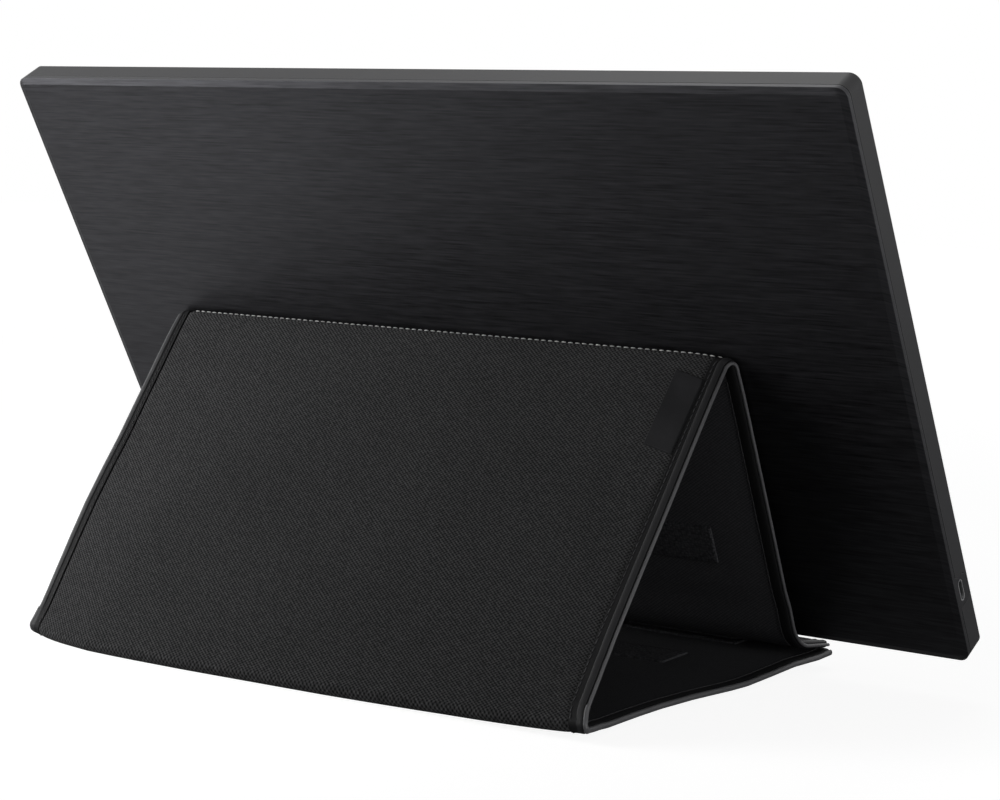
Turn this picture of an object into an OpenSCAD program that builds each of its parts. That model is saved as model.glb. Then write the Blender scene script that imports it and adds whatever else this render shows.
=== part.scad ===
// Portable monitor leaning on its fabric cover, which is folded into a stand.
// Millimetres. X runs to the right as seen from the screen side, the screen looks
// towards -Y and up, and the cover's base lies on Z = 0.

/* [Monitor housing] */
// Thickness of the monitor
mon_t = 12; // [11.5:0.1:15]
// Radius of the housing's four corners
corner_r = 4.2; // [3.5:0.1:10]
// Thickness of the side walls
wall_t = 1.6; // [1.2:0.1:2]
// Thickness of the bezel round the screen
bezel_t = 1.2; // [0.8:0.1:1.6]
// Thickness of the back cover's flat wall
back_t = 1.2; // [0.8:0.1:1.6]
// Depth of the back cover's own side wall, up to the parting line
back_side = 2.6; // [2:0.1:3.4]
// Depth of the bevel round the back
bevel_d = 0.8; // [0.4:0.1:1.2]
// Width of the bevel round the back
bevel_w = 2.6; // [1:0.1:3.5]
// Chamfer round the front edge
front_chamfer = 0.6; // [0.2:0.1:1]
// Gap that shows as the parting line
seam = 0.25; // [0.1:0.05:0.5]
// Clearance between pieces that slide or seat in each other
fit = 0.15; // [0.1:0.05:0.3]
// Thickness of the back cover's skirt, which seats inside the front frame
skirt_t = 1; // [0.8:0.1:1.4]
// Depth of that skirt below the parting line
skirt_d = 2; // [1:0.1:3]
// Height of the stiffening ribs inside the back cover
rib_h = 0.8; // [0.4:0.1:1]
// Thickness of those ribs
rib_t = 1; // [0.6:0.1:1.4]

/* [Screen] */
// Width of the picture area
active_w = 344.2; // [300:0.1:400]
// Height of the picture area
active_h = 193.6; // [170:0.1:230]
// Plastic margin at each side of the picture area
side_margin = 19.5; // [17:0.05:26]
// Plastic margin above the picture area
top_margin = 15.4; // [12:0.1:20]
// Plastic margin below the picture area, with room for the keys
bottom_margin = 27.5; // [25:0.1:40]
// Thickness of the liquid crystal cell with its polarisers
cell_t = 1.2; // [0.8:0.1:1.6]
// Thickness of the stack of optical films
films_t = 0.4; // [0.2:0.1:0.6]
// Thickness of the light guide
guide_t = 0.7; // [0.5:0.1:1]
// Thickness of the reflector sheet
reflector_t = 0.2; // [0.1:0.1:0.4]
// Thickness of the panel's sheet metal tray
chassis_t = 0.4; // [0.3:0.1:0.6]
// Height of the glass ledge under the picture area that holds the drivers
driver_ledge = 6.5; // [4:0.5:8]

/* [Socket] */
// Height of the socket's centre above the monitor's lower edge
port_up = 29.6; // [24:0.1:60]
// Depth of the socket's centre from the back face
port_in = 5.7; // [5.5:0.1:6.5]
// Length of the socket's metal shell, along the monitor's side
port_long = 8.94; // [8:0.01:10]
// Width of the socket's metal shell
port_wide = 3.16; // [2.8:0.01:3.4]
// Wall of the metal shell
shell_wall = 0.3; // [0.2:0.05:0.4]
// Depth of the metal shell
shell_depth = 7.35; // [6:0.05:9]
// Width of the cover's tongue round the socket
tongue_w = 12.2; // [12:0.1:18]
// Reach of that tongue from the back face
tongue_reach = 10.3; // [9:0.1:10.6]

/* [Circuit boards] */
// Length of the main board
board_l = 92.8; // [90:0.1:120]
// Height of the main board
board_h = 46; // [44:0.5:60]
// Distance of the main board's lower edge below the socket's centre
board_under = 17.6; // [12:0.1:20]
// Thickness of the boards
board_thick = 1; // [0.8:0.1:1.2]
// Height of the panel's driver board
driver_h = 8; // [6:0.5:12]
// Distance of the driver board's ends from the picture area's ends
driver_in = 42; // [20:1:60]
// Width of the display cable
cable_w = 16; // [10:0.5:20]
// Distance of the panel's fixing ears from the tray's lower and upper edge
ear_in = 36; // [20:1:50]

/* [Keys] */
// Length of each key
key_l = 9; // [6:0.1:12]
// Height of each key
key_h = 3.6; // [3:0.1:5]
// Spacing of the keys
key_pitch = 16; // [14:0.5:24]
// Distance of the power key's centre from the monitor's right edge
key_side = 30; // [28:0.5:60]
// Height of the keys above the monitor's lower edge
key_up = 10.5; // [9:0.1:12]
// How far a key stands out of the bezel
key_proud = 0.6; // [0.5:0.1:1]
// How far a key travels
key_travel = 0.5; // [0.3:0.1:0.5]

/* [Lean] */
// How far the monitor leans back from upright
recline = 30; // [28:1:34]
// Where the cover's ridge touches the monitor, measured up its back
ridge_up = 125.7; // [110:0.1:140]
// Gap between the ridge and the monitor's back
lean_gap = 0.5; // [0.3:0.1:1.5]
// Gap between the padded ledge and the monitor's lower edge
rest_gap = 0.45; // [0.3:0.05:1]

/* [Cover] */
// Width of the cover
cover_w = 268; // [220:1:320]
// Distance of the cover's middle from the monitor's middle
cover_x = 8.5; // [-20:0.5:20]
// Thickness of a panel
panel_t = 2.6; // [2.2:0.1:3.4]
// Thickness of the stiff board inside a panel
board_t = 1.4; // [1:0.1:1.8]
// Length of the front panel, from the ridge to the fold on the table
front_len = 151.8; // [142:0.1:165]
// Length of the stiff board in the rear panel
rear_board_len = 99; // [85:1:102]
// How far the rear panel leans back from upright
rear_tilt = 27.5; // [26:0.5:29]
// Radius of the soft gutter that holds the monitor's lower edge
gutter_r = 12; // [9:0.5:14]
// Length of the base's stiff board
base_board_len = 109; // [90:1:120]
// Reach of the ledge in front of the monitor's lower back edge
ledge_reach = 16.1; // [14:0.1:20]
// Slope of the ledge
ledge_slope = 5; // [3:0.5:7]
// Thickness of the extra padding on the ledge
pad_t = 0.6; // [0.4:0.1:1.4]
// Reach of the base's rear end in front of the monitor's lower back edge
tail_reach = 18; // [16.5:0.1:24]
// Height to which the base's rear end is lifted
tail_lift = 4.2; // [2:0.1:5]
// Gap between the base's rear end and the ledge, filled by hook and loop
closure_gap = 2; // [1.8:0.1:3]
// Radius of the rolled cloth at the two folds
fold_r = 2.4; // [2:0.1:2.6]
// Distance from a fold's axis to where the panels start
fold_clear = 3; // [3:0.1:4]

/* [Binding] */
// Width of the whole edge binding
bind_w = 7.2; // [6.5:0.1:9]
// Width of its rounded outer band
band_w = 4.4; // [3.6:0.1:4.8]
// Width of its inner piping
piping_w = 2; // [1.4:0.1:2]
// How far the binding stands above the cloth
bind_rise = 0.35; // [0.2:0.05:0.6]
// Thickness of the binding round the panel's edge
bind_web = 1; // [0.6:0.1:1.4]
// Rounding of the outer band
band_r = 1.2; // [0.6:0.1:1.4]
// Thickness of the flat tape between band and piping
tape_t = 0.12; // [0.08:0.02:0.18]

/* [Closure and tab] */
// Thickness of one hook or loop strip
strip_t = 0.85; // [0.5:0.05:0.85]
// Width of the strips that close the base to the ledge
closure_w = 9; // [6:0.5:11]
// Length of the strips that close the base to the ledge
closure_len = 200; // [120:5:210]
// Width of the loop patch inside the rear panel
patch_w = 16; // [10:0.5:20]
// Distance of that patch's middle from the ridge
patch_down = 82; // [60:1:86]
// Length of that patch
patch_len = 214; // [120:1:240]
// Width of the hook strip inside the base
strip_w = 18; // [12:0.5:24]
// Length of that strip
strip_len = 194; // [120:1:240]
// Width of the sewn tab
tab_w = 12.6; // [9:0.1:16]
// Length of the sewn tab
tab_len = 33.5; // [24:0.5:44]
// Thickness of the sewn tab
tab_t = 0.9; // [0.5:0.1:1.2]
// Distance of the tab from the ridge
tab_down = 6; // [4:0.5:14]
// Gap between the tab and the binding
tab_side = 1.2; // [0.2:0.1:6]

/* [Hidden] */

$fn = 48;
tiny = 0.01;
over = 1;              // how far a cutting tool runs past the face it cuts
seam_step = 0.02;      // step or gap that keeps two faces from meeting edge to edge
seam_lap = 0.3;        // how far two shapes run into each other at a seam

// --- side view of the stand: [y, z] points, y = 0 at the monitor's lower back edge ---
half_t = panel_t / 2;
half_board = board_t / 2;
stack_w = cover_w - 2 * bind_web;

ledge_dir = [cos(ledge_slope), sin(ledge_slope)];
rear_dir = [sin(rear_tilt), cos(rear_tilt)];
gutter_turn = 90 - rear_tilt - ledge_slope;

// the ledge's end, with its underside one closure gap above the base's end
ledge_tip = [-ledge_reach, tail_lift + panel_t + closure_gap + half_t / cos(ledge_slope)];
// the monitor's lowest corner is where its bevel starts; it is seen from the unbevelled edge
low_corner = [-bevel_d * cos(recline), bevel_d * sin(recline)];
ledge_top = ledge_tip[1] + (half_t + pad_t) / cos(ledge_slope)
    + (ledge_reach + low_corner[0]) * tan(ledge_slope);
edge_z = ledge_top + rest_gap - low_corner[1];

ridge = [
    ridge_up * sin(recline) + (fold_r + lean_gap) * cos(recline),
    edge_z + ridge_up * cos(recline) - (fold_r + lean_gap) * sin(recline)
];
gutter_corner = crossing(ledge_tip, ledge_dir, ridge, rear_dir);
gutter_tangent = gutter_r * tan(gutter_turn / 2);
gutter_low = gutter_corner - gutter_tangent * ledge_dir;
gutter_high = gutter_corner + gutter_tangent * rear_dir;
gutter_centre = gutter_low + gutter_r * left_of(ledge_dir);

base_fold = [ridge[0] + sqrt(pow(front_len, 2) - pow(ridge[1] - fold_r, 2)), fold_r];
front_dir = (base_fold - ridge) / front_len;
front_slope = atan2(-front_dir[1], front_dir[0]);
base_start = [base_fold[0] - fold_clear, half_t];
base_bend = base_start - [base_board_len, 0];
base_end = [-tail_reach + half_t, tail_lift + half_t];
tail_dir = (base_end - base_bend) / norm(base_end - base_bend);
front_start = ridge + fold_clear * front_dir;
front_end = base_fold - fold_clear * front_dir;
rear_start = ridge - fold_clear * rear_dir;
board_end = rear_start - rear_board_len * rear_dir;

// the cut between the ledge and the gutter, and the pivot on its underside
ledge_gap = 0.3;
strip_inset = 1;       // of a closure strip from the edge or bend beside it
ledge_root = gutter_low - ledge_gap * ledge_dir;
ledge_pivot = gutter_low - half_t * left_of(ledge_dir);

// the whole is centred over the origin along Y
origin_y = (base_fold[0] + fold_r - tail_reach) / 2;

// --- monitor, in its own frame: X across, Y out of the back, Z up its face ---
mon_w = active_w + 2 * side_margin;
mon_h = active_h + top_margin + bottom_margin;
parting = -back_side;
frame_edge = parting - seam;
cell_front = -mon_t + bezel_t;
cell_back = cell_front + cell_t;
films_back = cell_back + films_t;
guide_back = films_back + guide_t;
reflector_back = guide_back + reflector_t;
chassis_back = reflector_back + chassis_t;
inner_back = -back_t;
active_top = mon_h - top_margin;
active_low = active_top - active_h;
cell_side = 1.6;       // glass beyond the picture area at the sides and top
guide_side = 3;        // light guide beyond the picture area
tray_side = 4.6;       // metal tray beyond the picture area
tray_low = active_low - driver_ledge - 1.4;
tray_high = active_top + tray_side;

board_face = -port_in + port_wide / 2;          // the socket stands on this face
board_back = board_face + board_thick;
board_room = 0.4;      // between the skirt and the main board
board_left = -mon_w / 2 + wall_t + fit + skirt_t + board_room;
board_x = [board_left, board_left + board_l];
board_z = [port_up - board_under, port_up - board_under + board_h];
port_x = -mon_w / 2 + 0.1;
chip_t = 0.9;
coil_t = 1.6;          // of the inductors and of the shield can
coil_r = 2;
coil_in = 20;          // of the first inductor from the board's left end
can_in = 12;           // of the shield can from the board's left end
can_l = 24;
can_up = 15;           // of the shield can from the board's lower edge
can_h = 11;
plug_t = 0.8;          // display cable's connector
plug_l = 4;
plug_in = 3;
boss_r = 2.1;
screw_r = 0.8;
screw_head_r = 1.5;
screw_head_t = 0.7;
boss_inset = 4;        // of a board's screws from its edges
rib_n = 5;             // upright ribs
rib_room = 12;         // between the ribs and the walls or the main board

key_x = [for (i = [0:2]) mon_w / 2 - key_side - i * key_pitch];
pipe_x = mon_w / 2 - key_side + key_l / 2 + 6;
pipe_r = 0.8;
flange_w = 0.8;
flange_t = 0.4;
key_back = -mon_t + bezel_t + fit + flange_t;
switch_w = 3;
switch_face = key_back + key_travel + 0.05;
switch_t = 1.3;
key_board_face = switch_face + switch_t;
key_board_back = key_board_face + 0.8;
key_boss_x = [key_x[2] - key_l / 2 - flange_w - boss_r - 1, pipe_x + pipe_r + boss_r + 0.6];
key_board_x = [key_boss_x[0] - 3, key_boss_x[1] + 3];
key_board_z = [key_up - 5.5, key_up + 5];

// --- helpers ---
function left_of(d) = [-d[1], d[0]];
function cross2(a, b) = a[0] * b[1] - a[1] * b[0];
// where the line through p along d meets the line through q along e
function crossing(p, d, q, e) = p + d * cross2(q - p, e) / cross2(d, e);
// the unit direction of a path's piece i
function piece_dir(path, i) = (path[i + 1] - path[i]) / norm(path[i + 1] - path[i]);
// a path moved sideways by d, with mitred corners
function moved(path, d) = [
    for (i = [0:len(path) - 1])
        let (
            a = left_of(piece_dir(path, max(i - 1, 0))),
            b = left_of(piece_dir(path, min(i, len(path) - 2)))
        )
        path[i] + d * (a + b) / (1 + a * b)
];
function reversed(list) = [for (i = [len(list) - 1:-1:0]) list[i]];

// the band between two sideways distances of a path
module band(path, low, high) {
    polygon(concat(moved(path, high), reversed(moved(path, low))));
}

// side views made as wide as given, across the cover
module across(width, middle = cover_x) {
    for (i = [0:$children - 1])
        translate([middle, -origin_y, 0]) rotate([90, 0, 90])
            linear_extrude(width, center = true) children(i);
}

// the gutter's arc between two distances from its centreline
module gutter_arc(low, high) {
    translate(gutter_centre) intersection() {
        difference() {
            circle(gutter_r - low, $fn = 96);
            circle(gutter_r - high, $fn = 96);
        }
        polygon([
            [0, 0],
            3 * gutter_r * [sin(ledge_slope), -cos(ledge_slope)],
            5 * gutter_r * [sin(ledge_slope + gutter_turn / 2), -cos(ledge_slope + gutter_turn / 2)],
            3 * gutter_r * [cos(rear_tilt), -sin(rear_tilt)]
        ]);
    }
}

// section of the edge binding: x runs in from the panel's edge, y out of its face
module binding_section(rise_out, rise_in) {
    high = half_t + rise_out;
    low = half_t + rise_in;
    difference() {
        union() {
            difference() {
                translate([0, -low]) square([band_w, high + low]);
                band_corner(high);
                mirror([0, 1]) band_corner(low);
            }
            for (s = [1, -1]) {
                rise = s > 0 ? rise_out : rise_in;
                if (rise > 0) {
                    translate([band_w - tiny, s > 0 ? 0 : -half_t - tape_t])
                        square([bind_w - band_w - piping_w / 2, half_t + tape_t]);
                    intersection() {
                        translate([bind_w - piping_w / 2, s * (half_t + rise - piping_w / 2)])
                            circle(piping_w / 2);
                        translate([0, s > 0 ? 0 : -2 * panel_t]) square([bind_w, 2 * panel_t]);
                    }
                }
            }
        }
        translate([bind_web, -half_t]) square([bind_w, panel_t]);
    }
}

// what is cut from the outer band's square corner to round it
module band_corner(high) {
    r = min(band_r, half_t);
    difference() {
        translate([-over, high - r]) square([r + over, r + over]);
        translate([r, high - r]) circle(r);
    }
}

// the two side edges of the cover
module both_edges() {
    translate([cover_x, -origin_y, 0]) {
        children();
        mirror([1, 0, 0]) children();
    }
}

// a straight run of binding from a side-view point, along a direction
module binding_run(from, along, length, rise_out = bind_rise, rise_in = bind_rise) {
    translate([cover_w / 2, from[0], from[1]])
        rotate([90 - atan2(along[1], along[0]), 0, 180])
            linear_extrude(length) binding_section(rise_out, rise_in);
}

// the run of binding round the gutter
module binding_arc() {
    translate([0, gutter_centre[0], gutter_centre[1]])
        rotate([90, 0, 90])
            rotate([0, 0, ledge_slope - 90])
                rotate_extrude(angle = gutter_turn, $fn = 96)
                    translate([gutter_r, cover_w / 2])
                        mirror([0, 1]) rotate(90)
                            binding_section(bind_rise, bind_rise);
}

// places monitor pieces: leaning back about the lower back edge
module in_monitor() {
    translate([0, -origin_y, edge_z]) rotate([-recline, 0, 0]) children();
}

// a plate of the monitor, between two depths, from an outline in X and Z
module plate(front, back) {
    translate([0, back, 0]) rotate([90, 0, 0]) linear_extrude(back - front) children();
}

// a box of the monitor from ranges in X, Y and Z
module block(x, y, z) {
    translate([x[0], y[0], z[0]]) cube([x[1] - x[0], y[1] - y[0], z[1] - z[0]]);
}

// the housing's outline, drawn in by a margin
module housing_outline(margin = 0) {
    r = max(corner_r - margin, 0.8);
    rounded_box([-mon_w / 2 + margin, mon_w / 2 - margin], [margin, mon_h - margin], r);
}

module rounded_box(x, z, r) {
    for (cx = [x[0] + r, x[1] - r], cz = [z[0] + r, z[1] - r])
        translate([cx, cz]) circle(r);
    translate([x[0] + r, z[0]]) square([x[1] - x[0] - 2 * r, z[1] - z[0]]);
    translate([x[0], z[0] + r]) square([x[1] - x[0], z[1] - z[0] - 2 * r]);
}

// a housing-shaped plate whose edge slopes in by inset, towards the back or the front
module bevelled_plate(depth, inset, back_is_small) {
    r = corner_r;
    x = mon_w / 2 - r;
    z = [r, mon_h - r];
    near = back_is_small ? r : r - inset;
    far = back_is_small ? r - inset : r;
    for (cx = [-x, x], cz = z)
        translate([cx, 0, cz]) rotate([-90, 0, 0]) cylinder(depth, r1 = near, r2 = far);
    translate([-x, 0, 0]) rotate([90, 0, 90]) linear_extrude(2 * x) polygon([
        [0, z[0] - near], [depth, z[0] - far], [depth, z[1] + far], [0, z[1] + near]
    ]);
    translate([0, 0, z[0]]) linear_extrude(z[1] - z[0]) polygon([
        [-x - near, 0], [x + near, 0], [x + far, depth], [-x - far, depth]
    ]);
}

// a stadium outline centred on the origin
module stadium(long, wide) {
    translate([-(long - wide) / 2, -wide / 2]) square([long - wide, wide]);
    for (s = [-1, 1]) translate([s * (long - wide) / 2, 0]) circle(wide / 2);
}

// a screw whose head lies at depth y and whose shank runs towards the screen
module screw(length) {
    rotate([90, 0, 0]) cylinder(length, r = screw_r);
    rotate([-90, 0, 0]) cylinder(screw_head_t, r = screw_head_r);
}

// outline, in Y and Z, of the back cover's tongue round the socket
module tongue_outline(margin) {
    w = tongue_w + 2 * margin;
    reach = tongue_reach + margin;
    r = 3.6;
    neck = 1.2;
    polygon([
        [parting + over, port_up - w / 2 - neck], [parting - seam, port_up - w / 2 - neck],
        [parting - 2, port_up - w / 2], [-reach + r, port_up - w / 2],
        [-reach + r, port_up + w / 2], [parting - 2, port_up + w / 2],
        [parting - seam, port_up + w / 2 + neck], [parting + over, port_up + w / 2 + neck]
    ]);
    for (s = [-1, 1]) translate([-reach + r, port_up + s * (w / 2 - r)]) circle(r);
    translate([-reach, port_up - w / 2 + r]) square([r + tiny, w - 2 * r]);
}

// the tongue as a plate on the monitor's left wall, between two depths in from the side
module tongue_plate(from, to, margin = 0) {
    translate([-mon_w / 2 + from, 0, 0]) rotate([90, 0, 90]) linear_extrude(to - from)
        tongue_outline(margin);
}

// the hole for the socket, in from the side
module port_hole(from, to, margin) {
    translate([-mon_w / 2 + from, -port_in, port_up]) rotate([90, 0, 90])
        linear_extrude(to - from) rotate(90)
            stadium(port_long + 2 * margin, port_wide + 2 * margin);
}

boss_places = [
    for (x = [board_x[0] + shell_depth, board_x[1] - boss_inset],
        z = [board_z[0] + boss_inset, board_z[1] - boss_inset]) [x, z]
];
key_boss_places = [for (x = key_boss_x) [x, key_up]];
tray_ear_x = active_w / 2 + tray_side + 4;
tray_ear_places = [
    for (s = [-1, 1], z = [tray_low + ear_in, tray_high - ear_in]) [s * tray_ear_x, z]
];

// --- monitor pieces ---
module back_cover() color("#2b2b2d") in_monitor() {
    difference() {
        union() {
            translate([0, -bevel_d, 0]) bevelled_plate(bevel_d, bevel_w, true);
            plate(parting, -bevel_d + tiny) housing_outline();
            // skirt that seats inside the front frame
            plate(parting - skirt_d, parting + tiny) housing_outline(wall_t + fit);
            tongue_plate(0, wall_t);
        }
        plate(parting - skirt_d - over, inner_back) housing_outline(wall_t + fit + skirt_t);
        port_hole(-over, wall_t + over, fit);
        // room for the socket in the skirt
        block([-mon_w / 2 + wall_t, board_x[0]], [parting - skirt_d - over, parting],
            [port_up - port_long / 2 - over, port_up + port_long / 2 + over]);
    }
    // stiffening ribs of the moulding, above the main board
    rib_low = board_z[1] + rib_room;
    rib_high = mon_h - rib_room;
    rib_side = mon_w / 2 - rib_room;
    plate(inner_back - rib_h, inner_back + tiny) {
        for (i = [1:rib_n]) translate([-rib_side + i * 2 * rib_side / (rib_n + 1) - rib_t / 2, rib_low])
            square([rib_t, rib_high - rib_low]);
        for (i = [0:2]) translate([-rib_side, rib_low + i * (rib_high - rib_low - rib_t) / 2])
            square([2 * rib_side, rib_t]);
    }
    // bosses that carry the main board
    for (p = boss_places) translate([p[0], inner_back, p[1]]) rotate([90, 0, 0]) difference() {
        translate([0, 0, -tiny]) cylinder(inner_back - board_back + tiny, r = boss_r);
        cylinder(inner_back - board_back + over, r = screw_r);
    }
}

module front_frame() color("#303032") in_monitor() {
    difference() {
        union() {
            difference() {
                union() {
                    translate([0, -mon_t, 0]) bevelled_plate(front_chamfer, front_chamfer, false);
                    plate(-mon_t + front_chamfer - tiny, frame_edge) housing_outline();
                }
                plate(cell_front, over) housing_outline(wall_t);
                tongue_plate(-over, wall_t + over, fit);
            }
            // bosses for the panel's tray and for the key board
            for (p = tray_ear_places) frame_boss(p, chassis_back - chassis_t);
            for (p = key_boss_places) frame_boss(p, key_board_face);
        }
        plate(-mon_t - over, cell_front + over) square_window();
        for (x = key_x) plate(-mon_t - over, cell_front + over)
            translate([x, key_up]) stadium(key_l + 2 * fit, key_h + 2 * fit);
        translate([pipe_x, -mon_t - over, key_up]) rotate([-90, 0, 0])
            cylinder(bezel_t + 2 * over, r = pipe_r + fit);
    }
}

module square_window() {
    edge = 0.6;
    translate([-active_w / 2 - edge, active_low - edge]) square([active_w + 2 * edge, active_h + 2 * edge]);
}

// a boss on the bezel, up to a depth, with a hole for its screw
module frame_boss(place, top) {
    height = top - cell_front;
    translate([place[0], cell_front - tiny, place[1]]) rotate([-90, 0, 0]) difference() {
        cylinder(height + tiny, r = boss_r);
        translate([0, 0, 0.4]) cylinder(height + over, r = screw_r);
    }
}

module lcd_cell() color("#101114") in_monitor()
    block([-active_w / 2 - cell_side, active_w / 2 + cell_side], [cell_front, cell_back],
        [active_low - driver_ledge, active_top + cell_side]);

module optical_films() color("#e8e8e4") in_monitor()
    block([-active_w / 2 - guide_side, active_w / 2 + guide_side], [cell_back, films_back],
        [active_low - 3, active_top + cell_side]);

module light_guide() color("#dfeaf0") in_monitor()
    block([-active_w / 2 - guide_side, active_w / 2 + guide_side], [films_back, guide_back],
        [active_low - 3, active_top + cell_side]);

module reflector_sheet() color("#f2f2f0") in_monitor()
    block([-active_w / 2 - guide_side, active_w / 2 + guide_side], [guide_back, reflector_back],
        [active_low - 5, active_top + cell_side]);

module led_strip() color("#f0e6a0") in_monitor() {
    strip_z = [active_low - 5, active_low - 4.4];
    block([-active_w / 2, active_w / 2], [films_back, guide_back], strip_z);
    lamp_n = 36;
    for (i = [0:lamp_n - 1])
        translate([-active_w / 2 + (i + 0.5) * active_w / lamp_n, films_back, strip_z[1] - tiny])
            translate([-1.5, 0, 0]) cube([3, guide_t, 1]);
}

module panel_chassis() color("#a7abae") in_monitor() {
    x = active_w / 2 + tray_side;
    wall = 0.4;
    block([-x, x], [reflector_back, chassis_back], [tray_low, tray_high]);
    for (s = [-1, 1]) block([min(s * x, s * (x - wall)), max(s * x, s * (x - wall))],
        [cell_back, reflector_back + tiny], [tray_low, tray_high]);
    block([-x, x], [cell_back, reflector_back + tiny], [tray_high - wall, tray_high]);
    block([-x, x], [cell_back, reflector_back + tiny], [tray_low, tray_low + wall]);
    // ears that screw to the front frame
    for (p = tray_ear_places) difference() {
        tray_ear(p, x);
        translate([p[0], reflector_back - over, p[1]]) rotate([-90, 0, 0])
            cylinder(chassis_t + 2 * over, r = screw_r + fit);
    }
}

// one ear: a tongue from the tray's side to a rounded end round the screw
module tray_ear(place, tray_x) {
    ear_r = 2.4;
    side = sign(place[0]);
    plate(reflector_back, chassis_back) {
        translate(place) circle(ear_r);
        translate([side > 0 ? tray_x - tiny : place[0], place[1] - ear_r])
            square([abs(place[0]) - tray_x + tiny, 2 * ear_r]);
    }
}

driver_board_z = [tray_low + 1, tray_low + 1 + driver_h];
driver_board_t = 0.8;

module panel_driver_board() color("#1f4a33") in_monitor()
    block([-active_w / 2 + driver_in, active_w / 2 - driver_in],
        [chassis_back, chassis_back + driver_board_t], driver_board_z);

cable_x = board_x[1] - 26;

// flat cable from the panel's driver board down to the main board
module display_cable() color("#c9a24a") in_monitor() {
    thick = 0.2;
    start = [chassis_back + driver_board_t + thick / 2, driver_board_z[1] - 1];
    plug = [board_face - plug_t - thick / 2, board_z[1] - plug_in - plug_l / 2];
    route = [start - [0, driver_h - 2], start, start + [0.1, 4], plug - [0.2, 9], plug];
    translate([cable_x, 0, 0]) rotate([90, 0, 90]) linear_extrude(cable_w, center = true)
        band(route, -thick / 2, thick / 2);
}

module main_board() color("#1c4630") in_monitor() difference() {
    block(board_x, [board_face, board_back], board_z);
    for (p = boss_places) translate([p[0], board_face - over, p[1]]) rotate([-90, 0, 0])
        cylinder(board_thick + 2 * over, r = screw_r + fit);
}

// chips, inductors and the cable's connector on the main board
module board_chips() color("#18181a") in_monitor() {
    // each chip's centre from the board's lower left corner, and its length and height
    chips = [[48, 12, 9, 9], [70, 10, 7, 7], [33, 35, 6, 5], [83, 18, 5, 8], [54, 26, 4, 4]];
    for (c = chips) translate([board_x[0] + c[0] - c[2] / 2, board_face - chip_t, board_z[0] + c[1] - c[3] / 2])
        cube([c[2], chip_t, c[3]]);
    for (i = [0:2]) translate([board_x[0] + coil_in + i * 4 * coil_r, board_face, board_z[0] + 4 * coil_r])
        rotate([90, 0, 0]) cylinder(coil_t, r = coil_r);
    // the display cable's connector
    block([cable_x - cable_w / 2 - 1.5, cable_x + cable_w / 2 + 1.5], [board_face - plug_t, board_face],
        [board_z[1] - plug_in - plug_l, board_z[1] - plug_in]);
}

// folded steel can over the video circuit
module shield_can() color("#b9bcc0") in_monitor() difference() {
    x = [board_x[0] + can_in, board_x[0] + can_in + can_l];
    z = [board_z[0] + can_up, board_z[0] + can_up + can_h];
    wall = 0.2;
    block(x, [board_face - coil_t, board_face], z);
    block([x[0] + wall, x[1] - wall], [board_face - coil_t + wall, board_face + over],
        [z[0] + wall, z[1] - wall]);
}

module port_shell() color("#9a9ca0") in_monitor()
    translate([port_x, -port_in, port_up]) rotate([90, 0, 90]) difference() {
        linear_extrude(shell_depth) rotate(90) stadium(port_long, port_wide);
        translate([0, 0, -over]) linear_extrude(shell_depth + over - shell_wall) rotate(90)
            stadium(port_long - 2 * shell_wall, port_wide - 2 * shell_wall);
    }

module port_tongue() color("#1b1b1d") in_monitor() {
    long = 6.65;
    thick = 0.7;
    block([port_x + 0.9, port_x + shell_depth - shell_wall],
        [-port_in - thick / 2, -port_in + thick / 2], [port_up - long / 2, port_up + long / 2]);
    block([port_x + shell_depth - shell_wall - 1.6, port_x + shell_depth - shell_wall],
        [-port_in - 1.1, -port_in + 1.1], [port_up - long / 2, port_up + long / 2]);
}

module key_board() color("#1f4a33") in_monitor() difference() {
    block(key_board_x, [key_board_face, key_board_back], key_board_z);
    for (p = key_boss_places) translate([p[0], key_board_face - over, p[1]]) rotate([-90, 0, 0])
        cylinder(board_thick + 2 * over, r = screw_r + fit);
}

module key_switches() color("#8d9094") in_monitor() for (x = key_x) {
    body_t = switch_t - 0.4;
    block([x - switch_w / 2, x + switch_w / 2], [key_board_face - body_t, key_board_face],
        [key_up - switch_w / 2, key_up + switch_w / 2]);
    translate([x, key_board_face - body_t + tiny, key_up]) rotate([90, 0, 0])
        cylinder(switch_t - body_t + tiny, r = 0.8);
}

// flat cable from the back of the key board to a connector on the main board
module key_cable() color("#c9a24a") in_monitor() {
    ribbon = [key_board_back, key_board_back + 0.2];
    low = key_board_z[0] + 0.5;
    rise_x = [board_x[1] - 15, board_x[1] - 8];
    plug_z = [board_z[0] + 0.8, board_z[0] + 0.8 + plug_l];
    block([rise_x[0], key_board_x[0] + 9], ribbon, [low, key_up - screw_head_r - 0.5]);
    block(rise_x, ribbon, [low, plug_z[1]]);
    block(rise_x, [ribbon[0], board_face], plug_z);
}

module status_light_pipe() color("#e9eef2") in_monitor()
    translate([pipe_x, -mon_t, key_up]) rotate([-90, 0, 0])
        cylinder(key_board_face + mon_t, r = pipe_r);

module panel_screws() color("#77797c") in_monitor()
    for (p = tray_ear_places) translate([p[0], chassis_back, p[1]]) screw(chassis_t + 1.6);

module board_screws() color("#77797c") in_monitor() {
    for (p = boss_places) translate([p[0], board_face, p[1]]) rotate([0, 0, 180]) screw(board_thick + 1.4);
    for (p = key_boss_places) translate([p[0], key_board_back, p[1]]) screw(0.8 + 2);
}

// a key: pill-shaped cap with a flange that keeps it behind the bezel
module key(index) in_monitor() translate([key_x[index], 0, key_up]) {
    top = -mon_t - key_proud;
    plate(top + 0.3, key_back) stadium(key_l, key_h);
    plate(top, top + 0.3 + tiny) stadium(key_l - 0.6, key_h - 0.6);
    plate(key_back - flange_t, key_back) stadium(key_l + 2 * flange_w, key_h + 2 * flange_w);
}

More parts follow.
